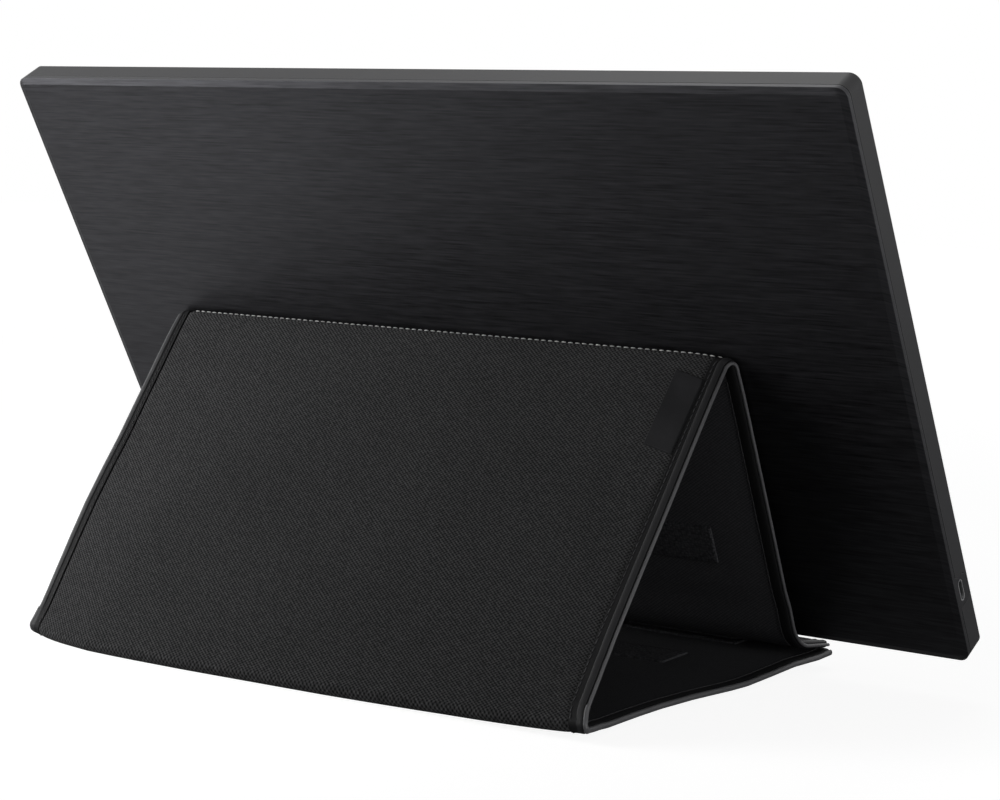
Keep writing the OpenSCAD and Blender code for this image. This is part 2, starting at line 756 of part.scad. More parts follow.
module power_key() color("#3a3a3c") key(0);
module menu_key() color("#3a3a3c") key(1);
module brightness_key() color("#3a3a3c") key(2);

// --- rear panel and gutter ---
module rear_outer_cloth() color("#35353a") across(stack_w) {
    band([gutter_high - seam_lap * rear_dir, rear_start], half_board, half_t);
    gutter_arc(half_board + seam_step, half_t - seam_step);
}

module rear_board() color("#6b6357") across(stack_w)
    band([board_end, rear_start], -half_board, half_board);

module rear_lining() color("#232326") across(stack_w) {
    band([gutter_high - seam_lap * rear_dir, board_end], -half_t, half_board);
    band([board_end - tiny * rear_dir, rear_start], -half_t, -half_board);
    gutter_arc(seam_step - half_t, half_board - seam_step);
}

module rear_bindings() color("#1d1d1f") both_edges() {
    binding_run(gutter_high + seam_step * rear_dir, rear_dir, norm(rear_start - gutter_high) - seam_step);
    binding_arc();
}

// rolled cloth over the ridge, sewn to the rear board's top edge
module ridge_fold_strip() color("#2c2c2f") across(cover_w) {
    translate(ridge) circle(fold_r);
    band([rear_start, ridge - fold_r / 2 * rear_dir], -half_board, half_board);
}

module inner_loop_patch() color("#161618") across(patch_len) {
    middle = ridge - patch_down * rear_dir;
    band([middle - patch_w / 2 * rear_dir, middle + patch_w / 2 * rear_dir], -half_t - strip_t, -half_t);
}

// --- front panel ---
module front_outer_cloth() color("#38383b") across(stack_w)
    band([front_start, front_end], half_board, half_t);

module front_board() color("#6b6357") across(stack_w)
    band([front_start, front_end], -half_board, half_board);

module front_lining() color("#232326") across(stack_w)
    band([front_start, front_end], -half_t, -half_board);

module front_bindings() color("#1d1d1f") both_edges()
    binding_run(front_start, front_dir, norm(front_end - front_start));

// blank tab sewn to the front panel beside its binding
module label_tab() color("#242426") {
    edge = cover_x - cover_w / 2 + bind_w + tab_side;
    across(tab_w, edge + tab_w / 2)
        band([ridge + tab_down * front_dir, ridge + (tab_down + tab_len) * front_dir],
            half_t, half_t + tab_t);
}

// --- base ---
base_path = [base_start, base_bend, base_end];

module base_outer_cloth() color("#38383b") across(stack_w) {
    band([base_start, base_bend, base_end + seam_lap * tail_dir], half_board, half_t);
    // the cloth is turned round the base's rear end
    round_end(base_end, tail_dir);
}

// the round end of a panel: a half-disc beyond its tip along d
module round_end(tip, d) {
    translate(tip) intersection() {
        circle(half_t - seam_step);
        rotate(atan2(d[1], d[0])) translate([0, -panel_t]) square(2 * panel_t);
    }
}

module base_board() color("#6b6357") across(stack_w)
    band([base_start, base_bend], -half_board, half_board);

module base_lining() color("#232326") across(stack_w) difference() {
    band(base_path, -half_t, half_board);
    band([base_start + [over, 0], base_bend], -half_board, half_board + over);
}

module base_bindings() color("#1d1d1f") both_edges() {
    binding_run(base_start, [-1, 0], base_board_len, 0);
    binding_run(base_bend, tail_dir, norm(base_end - base_bend), 0);
}

// rolled cloth along the fold on the table, sewn to the base board
module base_fold_strip() color("#2c2c2f") across(cover_w) {
    translate(base_fold) circle(fold_r);
    translate([base_start[0], half_t - half_board]) square([fold_clear - fold_r / 2, board_t]);
}

module base_hook_strip() color("#161618") across(closure_len) {
    from = base_end - (closure_w + strip_inset) * tail_dir;
    band([from, from + closure_w * tail_dir], -half_t - strip_t, -half_t);
}

module inner_hook_strip() color("#161618") across(strip_len)
    band([base_bend + strip_inset * tail_dir, base_bend + (strip_inset + strip_w) * tail_dir],
        -half_t - strip_t, -half_t);

// --- ledge ---
module ledge_cloth() color("#35353a") {
    across(stack_w) {
        band([ledge_tip - seam_lap * ledge_dir, ledge_root], 0, half_t);
        intersection() {
            round_end(ledge_tip, -ledge_dir);
            translate(ledge_tip) rotate(ledge_slope) translate([-panel_t, 0])
                square([2 * panel_t, panel_t]);
        }
    }
    // padding between the bindings
    up = left_of(ledge_dir);
    across(cover_w - 2 * bind_w - over) polygon([
        ledge_tip + half_board * up,
        ledge_root + half_board * up,
        ledge_root + (half_t + pad_t) * up - pad_t * ledge_dir,
        ledge_tip + (half_t + pad_t) * up + 2 * pad_t * ledge_dir
    ]);
}

module ledge_lining() color("#232326") across(stack_w) {
    band([ledge_tip - seam_lap * ledge_dir, ledge_root], -half_t, 0);
    intersection() {
        round_end(ledge_tip, -ledge_dir);
        translate(ledge_tip) rotate(ledge_slope) translate([-panel_t, -panel_t])
            square([2 * panel_t, panel_t]);
    }
}

module ledge_bindings() color("#1d1d1f") both_edges()
    binding_run(ledge_tip, ledge_dir, norm(ledge_root - ledge_tip));

module ledge_loop_strip() color("#161618") across(closure_len)
    band([ledge_tip + strip_inset * ledge_dir, ledge_tip + (closure_w + strip_inset) * ledge_dir],
        -half_t - strip_t, -half_t);

back_cover();
front_frame();
lcd_cell();
optical_films();
light_guide();
reflector_sheet();
panel_chassis();
led_strip();
panel_driver_board();
display_cable();
main_board();
board_chips();
shield_can();
port_shell();
port_tongue();
key_board();
key_switches();
key_cable();
status_light_pipe();
panel_screws();
board_screws();
power_key();
menu_key();
brightness_key();
rear_outer_cloth();
rear_board();
rear_lining();
rear_bindings();
ridge_fold_strip();
inner_loop_patch();
front_outer_cloth();
front_board();
front_lining();
front_bindings();
label_tab();
base_outer_cloth();
base_board();
base_lining();
base_bindings();
base_fold_strip();
base_hook_strip();
inner_hook_strip();
ledge_cloth();
ledge_lining();
ledge_bindings();
ledge_loop_strip();
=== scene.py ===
"""A portable monitor leaning on its folded fabric cover: modelled pieces, finishes and studio.

Lengths inside the classes are in millimetres and turn into metres where a mesh is made.
"""

import logging
import math
from dataclasses import dataclass
from enum import Enum
from typing import Callable

import bpy
import numpy as np
from mathutils import Matrix, Vector


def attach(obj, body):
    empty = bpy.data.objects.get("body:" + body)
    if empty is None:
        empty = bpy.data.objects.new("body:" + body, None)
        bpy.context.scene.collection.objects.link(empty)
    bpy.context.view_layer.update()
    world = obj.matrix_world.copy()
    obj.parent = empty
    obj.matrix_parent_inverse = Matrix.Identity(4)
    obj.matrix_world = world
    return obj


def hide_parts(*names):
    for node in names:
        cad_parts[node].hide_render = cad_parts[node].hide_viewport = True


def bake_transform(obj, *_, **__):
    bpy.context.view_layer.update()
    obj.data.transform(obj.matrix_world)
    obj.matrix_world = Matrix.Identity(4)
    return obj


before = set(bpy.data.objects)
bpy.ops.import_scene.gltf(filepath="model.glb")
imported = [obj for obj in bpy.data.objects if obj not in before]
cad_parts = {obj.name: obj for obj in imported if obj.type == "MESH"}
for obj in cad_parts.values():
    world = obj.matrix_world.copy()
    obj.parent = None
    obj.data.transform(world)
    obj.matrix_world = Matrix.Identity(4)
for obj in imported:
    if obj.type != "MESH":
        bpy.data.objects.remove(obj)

LOG = logging.getLogger("portable_monitor")
MM = 0.001
Array = np.ndarray
Node = bpy.types.Node
Tree = bpy.types.NodeTree
Socket = bpy.types.NodeSocket
Object = bpy.types.Object


# ---------------------------------------------------------------- colours and nodes


def linear(hex_colour: str) -> tuple[float, float, float, float]:
    """Turns an sRGB hex colour into the linear colour that shaders take.

    Args:
        hex_colour: The colour as "#rrggbb".

    Returns:
        Red, green, blue and an alpha of 1.
    """
    parts = [int(hex_colour[i : i + 2], 16) / 255 for i in (1, 3, 5)]
    r, g, b = (p / 12.92 if p <= 0.04045 else ((p + 0.055) / 1.055) ** 2.4 for p in parts)
    return (r, g, b, 1.0)


def add_node(
    tree: Tree,
    kind: str,
    settings: dict[str | int, object] | None = None,
    links: dict[str | int, Socket] | None = None,
) -> Node:
    """Adds one node to a tree, with its settings and links.

    Args:
        tree: The node tree that the node goes into.
        kind: The node's type, such as "ShaderNodeMath".
        settings: Values of the node's own properties, or of its inputs by name or number.
        links: The sockets that feed its inputs, by the input's name or number.

    Returns:
        The new node.
    """
    node = tree.nodes.new(kind)
    for name, value in (settings or {}).items():
        if isinstance(name, str) and hasattr(node, name):
            setattr(node, name, value)
        else:
            node.inputs[name].default_value = value
    for name, source in (links or {}).items():
        tree.links.new(source, node.inputs[name])
    return node


class Maths:
    """Short arithmetic on sockets, all made with add_node."""

    def __init__(self, tree: Tree) -> None:
        """Keeps the tree that the sums are built in."""
        self.tree = tree

    def do(self, operation: str, *terms: Socket | float) -> Socket:
        """Applies one Math operation.

        Args:
            operation: The operation's name, such as "ADD".
            terms: Its one to three operands, each a socket or a number.

        Returns:
            The result's socket.
        """
        numbers = {i: t for i, t in enumerate(terms) if not isinstance(t, Socket)}
        sockets = {i: t for i, t in enumerate(terms) if isinstance(t, Socket)}
        node = add_node(self.tree, "ShaderNodeMath", {"operation": operation, **numbers}, sockets)
        return node.outputs[0]


# ---------------------------------------------------------------- finishes


@dataclass(frozen=True)
class Finish:
    """What every finish has, and the shader that its pattern is added to."""

    name: str
    colour: str
    tint: str
    roughness: float
    ior: float = 1.5
    metallic: float = 0.0
    specular: float = 0.5

    def material(self) -> bpy.types.Material:
        """Makes the material, or returns it where it is made already.

        Returns:
            The material with its shader and its pattern.
        """
        found = bpy.data.materials.get(self.name)
        if found:
            return found
        made = bpy.data.materials.new(self.name)
        made.use_nodes = True
        tree = made.node_tree
        tree.nodes.clear()
        base = {
            "Base Color": linear(self.colour),
            "Roughness": self.roughness,
            "Metallic": self.metallic,
            "IOR": self.ior,
            "Specular IOR Level": self.specular,
        }
        shader = add_node(tree, "ShaderNodeBsdfPrincipled", base)
        add_node(tree, "ShaderNodeOutputMaterial", links={"Surface": shader.outputs[0]})
        self.pattern(tree, shader)
        made.diffuse_color = linear(self.colour)
        return made

    def pattern(self, tree: Tree, shader: Node) -> None:
        """Adds what makes the surface more than one flat colour.

        Args:
            tree: The material's tree.
            shader: The shader that it is added to.
        """
        raise NotImplementedError

    def two_tone(self, tree: Tree, shader: Node, share: Socket) -> None:
        """Mixes the finish's two colours into the base colour.

        Args:
            tree: The material's tree.
            shader: The shader that takes the colour.
            share: How much of the second colour shows.
        """
        colours = {"data_type": "RGBA", 6: linear(self.colour), 7: linear(self.tint)}
        mix = add_node(tree, "ShaderNodeMix", colours, {0: share})
        tree.links.new(mix.outputs[2], shader.inputs["Base Color"])

    def mottle(self, tree: Tree, shader: Node, where: Socket, size: float, share: float) -> Socket:
        """Varies the base colour between the finish's two colours in soft patches.

        Args:
            tree: The material's tree.
            shader: The shader that takes the colour.
            where: The coordinates, in metres.
            size: The patches' size in mm.
            share: How much of the second colour shows at most.

        Returns:
            The noise's value.
        """
        settings = {"Scale": 1 / (size * MM), "Detail": 3.0}
        noise = add_node(tree, "ShaderNodeTexNoise", settings, {"Vector": where}).outputs[0]
        self.two_tone(tree, shader, Maths(tree).do("MULTIPLY", noise, share))
        return noise

    def vary_gloss(self, tree: Tree, shader: Node, by: Socket, spread: float) -> None:
        """Spreads the roughness evenly about the finish's own.

        Args:
            tree: The material's tree.
            shader: The shader that takes the roughness.
            by: A value from 0 to 1 that it follows.
            spread: How far apart its least and its most are.
        """
        rough = Maths(tree).do("MULTIPLY_ADD", by, spread, self.roughness - spread / 2)
        tree.links.new(rough, shader.inputs["Roughness"])


def object_place(tree: Tree, scale: tuple[float, float, float] = (1, 1, 1), turn: float = 0.0) -> Socket:
    """Gives the piece's own coordinates in metres, turned about X and then scaled.

    Args:
        tree: The material's tree.
        scale: Factors for X, Y and Z after the turn.
        turn: Degrees about X that bring the monitor's leaning face upright.

    Returns:
        The coordinates' socket.
    """
    place = add_node(tree, "ShaderNodeTexCoord").outputs["Object"]
    tilt = {"Rotation": (math.radians(turn), 0, 0)}
    upright = add_node(tree, "ShaderNodeMapping", tilt, {"Vector": place}).outputs[0]
    return add_node(tree, "ShaderNodeMapping", {"Scale": scale}, {"Vector": upright}).outputs[0]


def bump_on(
    tree: Tree, shader: Node, height: Socket, depth: float, strength: float = 1.0, edge_r: float = 0.0
) -> None:
    """Adds relief to a shader, and shades the piece's edges as if they were rounded.

    Args:
        tree: The material's tree.
        shader: The shader whose normal changes.
        height: The relief, from 0 to 1.
        depth: How deep a height of 1 is, in mm.
        strength: How much of the relief shows.
        edge_r: The radius of the edges in mm, or 0 to leave them as they are.
    """
    settings = {"Strength": strength, "Distance": depth * MM}
    bump = add_node(tree, "ShaderNodeBump", settings, {"Height": height})
    if edge_r:
        edge = add_node(tree, "ShaderNodeBevel", {"samples": 4, "Radius": edge_r * MM})
        tree.links.new(edge.outputs[0], bump.inputs["Normal"])
    tree.links.new(bump.outputs[0], shader.inputs["Normal"])


@dataclass(frozen=True)
class PlainWeave(Finish):
    """Solution-dyed polyester, woven in pairs of twisted yarns: a fine diagonal grain and no shine.

    Lengths are in mm: the yarns' pitch both ways, the relief, how far the yarns wander and over what
    length, and the sizes of the fibres' glints and of the cloudy places. Real fibres are too fine to
    show, so their glints are as large as they need to be to show.
    """

    pitch: tuple[float, float] = (0.89, 0.66)
    relief: float = 0.08
    wander: float = 0.6
    wander_len: float = 22.222
    fibre: float = 0.58824
    cloud: float = 71.43

    def pattern(self, tree: Tree, shader: Node) -> None:
        """Draws yarns that cross over and under, in painted light and shade: lighter crowns, darker gaps and
        a stronger diagonal, a painted highlight that the twist leans one way.

        Args:
            tree: The material's tree.
            shader: The shader that it is added to.
        """
        m = Maths(tree)
        uv = add_node(tree, "ShaderNodeTexCoord").outputs["UV"]
        drift, fibre, cloud = (
            add_node(tree, "ShaderNodeTexNoise", {"Scale": 1 / (size * MM), "Detail": detail}, {"Vector": uv})
            for size, detail in ((self.wander_len, 1.0), (self.fibre, 2.0), (self.cloud, 3.0))
        )
        reach = (self.wander * MM, self.wander * MM, 0)
        sway = add_node(
            tree,
            "ShaderNodeVectorMath",
            {"operation": "MULTIPLY_ADD", 1: reach},
            {0: drift.outputs["Color"], 2: uv},
        ).outputs[0]
        axes = add_node(tree, "ShaderNodeSeparateXYZ", links={0: sway}).outputs
        u, v = (m.do("MULTIPLY", axes[i], math.pi / (self.pitch[i] * MM)) for i in (0, 1))
        # the two diagonals of a chequered weave, one of them stronger, as painted light and shade of the
        # yarns
        main, other = (
            m.do("MULTIPLY_ADD", m.do("COSINE", m.do(way, u, v)), swing, level)
            for way, swing, level in (("SUBTRACT", 0.43, 0.75), ("ADD", 0.3, 0.66))
        )
        # painted shade in the gaps between the yarns and a painted lighter crown on each crossing, in the
        # colour as well as the relief
        gap_shading = m.do("ABSOLUTE", m.do("MULTIPLY", m.do("SINE", u), m.do("SINE", v)))
        crown_shading = m.do("MULTIPLY_ADD", m.do("POWER", gap_shading, 0.5), 0.5, 0.5)
        height = m.do("MULTIPLY", m.do("MULTIPLY", main, other), crown_shading)
        # each crossing takes the dye a little differently
        cell = {"operation": "DIVIDE", 1: (self.pitch[0] * MM, self.pitch[1] * MM, 1)}
        counted = add_node(tree, "ShaderNodeVectorMath", cell, {0: sway}).outputs[0]
        whole = add_node(tree, "ShaderNodeVectorMath", {"operation": "FLOOR"}, {0: counted}).outputs[0]
        own = add_node(tree, "ShaderNodeTexWhiteNoise", {"noise_dimensions": "2D"}, {"Vector": whole})
        shade = height
        for source, gain, least in ((fibre, 1.8, 0.1), (own, 0.5, 0.7), (cloud, 0.3, 0.85)):
            shade = m.do("MULTIPLY", shade, m.do("MULTIPLY_ADD", source.outputs[0], gain, least))
        self.two_tone(tree, shader, shade)
        bump_on(tree, shader, height, self.relief, strength=0.7)


@dataclass(frozen=True)
class CoatedTape(Finish):
    """Polyurethane-coated tape, rolled and embossed: a smooth leather-like skin with a soft gleam."""

    grain: float = 0.45
    sheen_patch: float = 12.0

    def pattern(self, tree: Tree, shader: Node) -> None:
        """Adds the embossed pebble grain and soft patches of painted sheen, both sized in mm.

        Args:
            tree: The material's tree.
            shader: The shader that it is added to.
        """
        uv = add_node(tree, "ShaderNodeTexCoord").outputs["UV"]
        # painted sheen: soft lighter patches mixed into the colour, with the gloss following them
        painted_sheen = self.mottle(tree, shader, uv, self.sheen_patch, share=0.9)
        self.vary_gloss(tree, shader, painted_sheen, spread=0.2)
        grain = {"feature": "SMOOTH_F1", "Scale": 1 / (self.grain * MM), "Smoothness": 0.6}
        pebbles = add_node(tree, "ShaderNodeTexVoronoi", grain, {"Vector": uv}).outputs[0]
        bump_on(tree, shader, Maths(tree).do("SUBTRACT", 1.0, pebbles), depth=0.05, strength=0.5)


@dataclass(frozen=True)
class SewingThread(Finish):
    """Bonded polyester thread, twisted from three plies: small bright slanting strands."""

    strand: float = 0.898

    def pattern(self, tree: Tree, shader: Node) -> None:
        """Adds the plies' slanting lines, with the strand's length in mm from one to the next, as painted
        shade in the grooves between the plies.

        Args:
            tree: The material's tree.
            shader: The shader that it is added to.
        """
        uv = add_node(tree, "ShaderNodeTexCoord").outputs["UV"]
        # the texture's diagonal bands repeat every 2 pi / 10 of its own unit
        lines = {
            "bands_direction": "DIAGONAL",
            "Scale": math.tau / 10 / (self.strand * MM),
            "Distortion": 1.0,
        }
        wave = add_node(tree, "ShaderNodeTexWave", lines, {"Vector": uv}).outputs[1]
        # painted shade: the colour darkens in the grooves between the plies
        self.two_tone(tree, shader, wave)
        bump_on(tree, shader, wave, depth=0.08)


@dataclass(frozen=True)
class HookLoop(Finish):
    """Nylon hook-and-loop tape, woven with a raised pile: a rough nap without gloss."""

    pitch: float = 1.1

    def pattern(self, tree: Tree, shader: Node) -> None:
        """Adds tufts at the pitch in mm, in uneven rows, with painted shade in the hollows between them.

        Args:
            tree: The material's tree.
            shader: The shader that it is added to.
        """
        uv = add_node(tree, "ShaderNodeTexCoord").outputs["UV"]
        rows = {"Scale": 1 / (self.pitch * MM), "Randomness": 0.55}
        tufts = add_node(tree, "ShaderNodeTexVoronoi", rows, {"Vector": uv}).outputs[0]
        height = Maths(tree).do("SUBTRACT", 1.0, tufts)
        # painted shade: the colour darkens from the tufts' tops into the hollows
        self.two_tone(tree, shader, height)
        bump_on(tree, shader, height, depth=0.5)


@dataclass(frozen=True)
class BrushedMetal(Finish):
    """Dark anodised aluminium, brushed along its length: fine level strokes of light and shade.

    Each set of strokes has a length and a width in mm and a share of the whole. Real strokes are some
    0.05 mm wide, too fine to show, so they are drawn several times as wide.
    """

    contrast: float = 2.6
    turn: float = -30.0
    strokes: tuple[tuple[float, float, float], ...] = ((17, 0.27, 0.5), (42, 0.4, 0.3), (9, 0.7, 0.2))
    row_gap: float = 7.37

    def pattern(self, tree: Tree, shader: Node) -> None:
        """Draws straight strokes, each in a row of its own, and rounds the shading at the edges.

        Args:
            tree: The material's tree.
            shader: The shader that it is added to.
        """
        m = Maths(tree)
        axes = add_node(tree, "ShaderNodeSeparateXYZ", links={0: object_place(tree, turn=self.turn)}).outputs
        flat = {"noise_dimensions": "2D", "Scale": 1.0, "Detail": 1.0}
        total = 0.5 - self.contrast / 2
        for length, width, share in self.strokes:
            row = m.do("FLOOR", m.do("MULTIPLY", axes[2], 1 / (width * MM)))
            along = m.do("MULTIPLY", axes[0], 1 / (length * MM))
            place = add_node(
                tree, "ShaderNodeCombineXYZ", links={0: along, 1: m.do("MULTIPLY", row, self.row_gap)}
            )
            noise = add_node(tree, "ShaderNodeTexNoise", flat, {"Vector": place.outputs[0]})
            total = m.do("MULTIPLY_ADD", noise.outputs[0], share * self.contrast, total)
        self.two_tone(tree, shader, total)
        self.vary_gloss(tree, shader, total, spread=0.1)
        bump_on(tree, shader, total, depth=0.004, strength=0.25, edge_r=0.35)


@dataclass(frozen=True)
class MouldedPlastic(Finish):
    """ABS or polycarbonate, injection moulded against a spark-eroded tool: an even fine sand texture."""

    cloud: float = 14.0
    grit: float = 0.3
    relief: float = 0.03

    def pattern(self, tree: Tree, shader: Node) -> None:
        """Adds the tool's sand texture, drawn coarser than it is to show, and the edge rounding.

        Args:
            tree: The material's tree.
            shader: The shader that it is added to.
        """
        place = object_place(tree)
        self.mottle(tree, shader, place, self.cloud, share=0.8)
        sand = {"Scale": 1 / (self.grit * MM), "Detail": 2.0}
        grit = add_node(tree, "ShaderNodeTexNoise", sand, {"Vector": place}).outputs[0]
        bump_on(tree, shader, grit, self.relief, strength=0.5, edge_r=0.25)


@dataclass(frozen=True)
class CoatedGlass(Finish):
    """Aluminosilicate glass with an etched anti-glare face: deep black with a soft veil of reflection."""

    cloud: float = 60.0
    etch: float = 0.1923

    def pattern(self, tree: Tree, shader: Node) -> None:
        """Adds faint cloudiness and the etch's sparkle, drawn coarser than it is to show.

        Args:
            tree: The material's tree.
            shader: The shader that it is added to.
        """
        place = object_place(tree)
        veil = self.mottle(tree, shader, place, self.cloud, share=1.0)
        self.vary_gloss(tree, shader, veil, spread=0.06)
        pits = {"Scale": 1 / (self.etch * MM), "Detail": 1.0}
        etch = add_node(tree, "ShaderNodeTexNoise", pits, {"Vector": place}).outputs[0]
        bump_on(tree, shader, etch, depth=0.004, strength=0.3)


@dataclass(frozen=True)
class SheetMetal(Finish):
    """Cold-rolled or stamped sheet metal, bare or plated: rolling lines and small scuffs."""

    line_len: float = 25.0
    line_w: float = 0.66667
    scuff: float = 6.0

    def pattern(self, tree: Tree, shader: Node) -> None:
        """Adds rolling lines and scuffs in the gloss, sized in mm.

        Args:
            tree: The material's tree.
            shader: The shader that it is added to.
        """
        across = 1 / (self.line_w * MM)
        place = object_place(tree, (1 / (self.line_len * MM), across, across))
        even = {"Scale": 1.0, "Detail": 2.0}
        rolled = add_node(tree, "ShaderNodeTexNoise", even, {"Vector": place}).outputs[0]
        self.mottle(tree, shader, object_place(tree), self.scuff, share=0.5)
        self.vary_gloss(tree, shader, rolled, spread=0.25)
        bump_on(tree, shader, rolled, depth=0.01, strength=0.4)


@dataclass(frozen=True)
class CircuitLaminate(Finish):
    """Glass-fibre laminate under solder mask, screen printed: glossy green, copper runs showing through."""

    raster: float = 2.381

    def pattern(self, tree: Tree, shader: Node) -> None:
        """Adds raised copper runs in a square raster, sized in mm.

        Args:
            tree: The material's tree.
            shader: The shader that it is added to.
        """
        square = {"distance": "CHEBYCHEV", "Scale": 1 / (self.raster * MM), "Randomness": 0.6}
        runs = add_node(tree, "ShaderNodeTexVoronoi", square, {"Vector": object_place(tree)}).outputs[0]
        self.two_tone(tree, shader, runs)
        bump_on(tree, shader, runs, depth=0.03, strength=0.5)


@dataclass(frozen=True)
class FilmPlastic(Finish):
    """Extruded and calendered film or sheet plastic: clean and smooth, faintly streaked."""

    streak: float = 3.0

    def pattern(self, tree: Tree, shader: Node) -> None:
        """Adds the calender's streaks, sized in mm.

        Args:
            tree: The material's tree.
            shader: The shader that it is added to.
        """
        cloud = self.mottle(tree, shader, object_place(tree), self.streak, share=0.7)
        self.vary_gloss(tree, shader, cloud, spread=0.12)
        bump_on(tree, shader, cloud, depth=0.01, strength=0.3)


class Surface(Enum):
    """Every finish of the monitor and its cover: name, two colours and roughness, then what is special."""

    CLOTH = PlainWeave("woven polyester cloth", "#080808", "#606061", 0.85, specular=0.02)
    # the lining's light grey is painted light: it makes up for the little light that reaches inside the stand
    LINING = PlainWeave("woven lining cloth", "#3a3a3c", "#58585b", 0.9, specular=0.02, relief=0.05)
    BINDING = CoatedTape("coated binding tape", "#161617", "#222224", 0.6, specular=0.2)
    # the piping's light grey, lighter than the binding tape it belongs to, is a painted highlight along the
    # rounded outer edge
    PIPING = CoatedTape("rolled edge piping", "#4c4c4e", "#5f5f61", 0.5, specular=0.45)
    FLAT_TAPE = CoatedTape("flat inner tape", "#0b0b0c", "#131314", 0.7, specular=0.12)
    TAB = CoatedTape("coated tab", "#0a0a0b", "#333335", 0.5, specular=0.07, grain=0.9)
    # the ridge thread's pale colour is partly its own grey and partly a painted highlight from the light
    # behind the ridge
    THREAD = SewingThread("bonded thread", "#dcdcda", "#b4b4b3", 0.5)
    DARK_THREAD = SewingThread("dark bonded thread", "#222224", "#353537", 0.6, specular=0.3)
    BOARD = FilmPlastic("stiffening board", "#4a4845", "#57544f", 0.7)
    HOOK_LOOP = HookLoop("hook and loop tape", "#2a2a2c", "#555558", 0.9, specular=0.04)
    BACK = BrushedMetal("brushed anodised back", "#323234", "#434346", 0.44, metallic=1.0)
    FRAME = MouldedPlastic("moulded front frame", "#151517", "#232326", 0.5, specular=0.35)
    KEYS = MouldedPlastic("moulded keys", "#1b1b1e", "#27272b", 0.42)
    GLASS = CoatedGlass("anti-glare display glass", "#050507", "#0b0c10", 0.16, ior=1.52)
    FILMS = FilmPlastic("optical films", "#dfe3e4", "#e9eceb", 0.3, ior=1.57)
    GUIDE = FilmPlastic("acrylic light guide", "#cfd8dc", "#e9eceb", 0.12, ior=1.49, streak=8.0)
    REFLECTOR = FilmPlastic("white reflector sheet", "#e4e5e3", "#e9eceb", 0.55)
    CHASSIS = SheetMetal("galvanised steel tray", "#a7abae", "#c9c9c6", 0.385, metallic=1.0)
    SHIELD = SheetMetal("tinned shield can", "#b9bcc0", "#c9c9c6", 0.305, metallic=1.0)
    SOCKET = SheetMetal("nickel-plated socket shell", "#d2d3d5", "#e0e0e0", 0.345, metallic=1.0)
    SCREWS = SheetMetal("zinc-plated screws", "#77797c", "#8d8e90", 0.355, metallic=1.0)
    LAMINATE = CircuitLaminate("green circuit board", "#1d4a2c", "#2f6b45", 0.35)
    CHIPS = MouldedPlastic("moulded chip packages", "#161617", "#202021", 0.5, ior=1.55, grit=0.15)
    LEDS = FilmPlastic("light-emitting strip", "#e8e2b8", "#f1efe0", 0.4, streak=1.5)
    FLEX = FilmPlastic("polyimide flat cable", "#b5842c", "#8f6420", 0.3, ior=1.6, streak=1.0)
    PORT_PLASTIC = MouldedPlastic("socket tongue plastic", "#1a1a1c", "#232326", 0.45, ior=1.55, grit=0.2)
    SWITCHES = MouldedPlastic("tactile switches", "#2a2a2c", "#3a3a3c", 0.4, grit=0.2)
    LIGHT_PIPE = FilmPlastic("acrylic light pipe", "#e9eef2", "#e9eceb", 0.15, ior=1.49, streak=2.0)

    def material(self) -> bpy.types.Material:
        """Returns the finish's material."""
        return self.value.material()


# ---------------------------------------------------------------- meshes


def make_object(
    name: str,
    points: Array,
    faces: list[tuple[int, ...]],
    uv: Array,
    surface: Surface,
    sharp: float = 40.0,
) -> Object:
    """Makes a smooth-shaded mesh object from millimetre points.

    Args:
        name: The piece's name.
        points: One point per vertex, in mm, in the part's own frame.
        faces: The vertex numbers of each face.
        uv: One pair per vertex, in mm along the surface.
        surface: The finish.
        sharp: Edges that turn more than this many degrees stay sharp.

    Returns:
        The new object.
    """
    mesh = bpy.data.meshes.new(name)
    mesh.from_pydata((points * MM).tolist(), [], faces)
    layer = mesh.uv_layers.new(name="surface")
    corner = np.zeros(len(mesh.loops), np.int32)
    mesh.loops.foreach_get("vertex_index", corner)
    layer.data.foreach_set("uv", (uv[corner] * MM).astype(np.float32).ravel())
    mesh.materials.append(surface.material())
    mesh.shade_smooth()
    mesh.set_sharp_from_angle(angle=math.radians(sharp))
    mesh.validate()
    piece = bpy.data.objects.new(name, mesh)
    bpy.context.scene.collection.objects.link(piece)
    return piece


def grid_faces(rows: int, columns: int, first: int = 0, flip: bool = False) -> list[tuple[int, ...]]:
    """Lists the quads of a grid of vertices.

    Args:
        rows: How many rows of vertices there are.
        columns: How many there are in a row.
        first: The number of the grid's first vertex.
        flip: Whether the quads turn the other way.

    Returns:
        Each quad's vertex numbers.
    """
    a = first + (np.arange(rows - 1)[:, None] * columns + np.arange(columns - 1)).ravel()
    quads = np.stack([a, a + 1, a + columns + 1, a + columns], axis=1)
    return [tuple(q[::-1] if flip else q) for q in quads.tolist()]


def slab(name: str, outer: Array, inner: Array, uv: Array, surface: Surface) -> Object:
    """Closes two matching grids into a thin sheet with edges.

    Args:
        name: The piece's name.
        outer: The outer face's points, rows by columns by 3, in mm.
        inner: The inner face's points in the same order.
        uv: The places along the surface, rows by columns by 2, in mm.
        surface: The finish.

    Returns:
        The closed sheet.
    """
    rows, columns = outer.shape[:2]
    count = rows * columns
    faces = grid_faces(rows, columns) + grid_faces(rows, columns, count, True)
    ring = (
        list(range(columns))
        + [columns * r + columns - 1 for r in range(1, rows)]
        + [columns * (rows - 1) + c for c in range(columns - 2, -1, -1)]
        + [columns * r for r in range(rows - 2, 0, -1)]
    )
    for a, b in zip(ring, ring[1:] + ring[:1]):
        faces.append((b, a, a + count, b + count))
    points = np.concatenate([outer.reshape(-1, 3), inner.reshape(-1, 3)])
    both = np.concatenate([uv.reshape(-1, 2), uv.reshape(-1, 2)])
    return make_object(name, points, faces, both, surface)


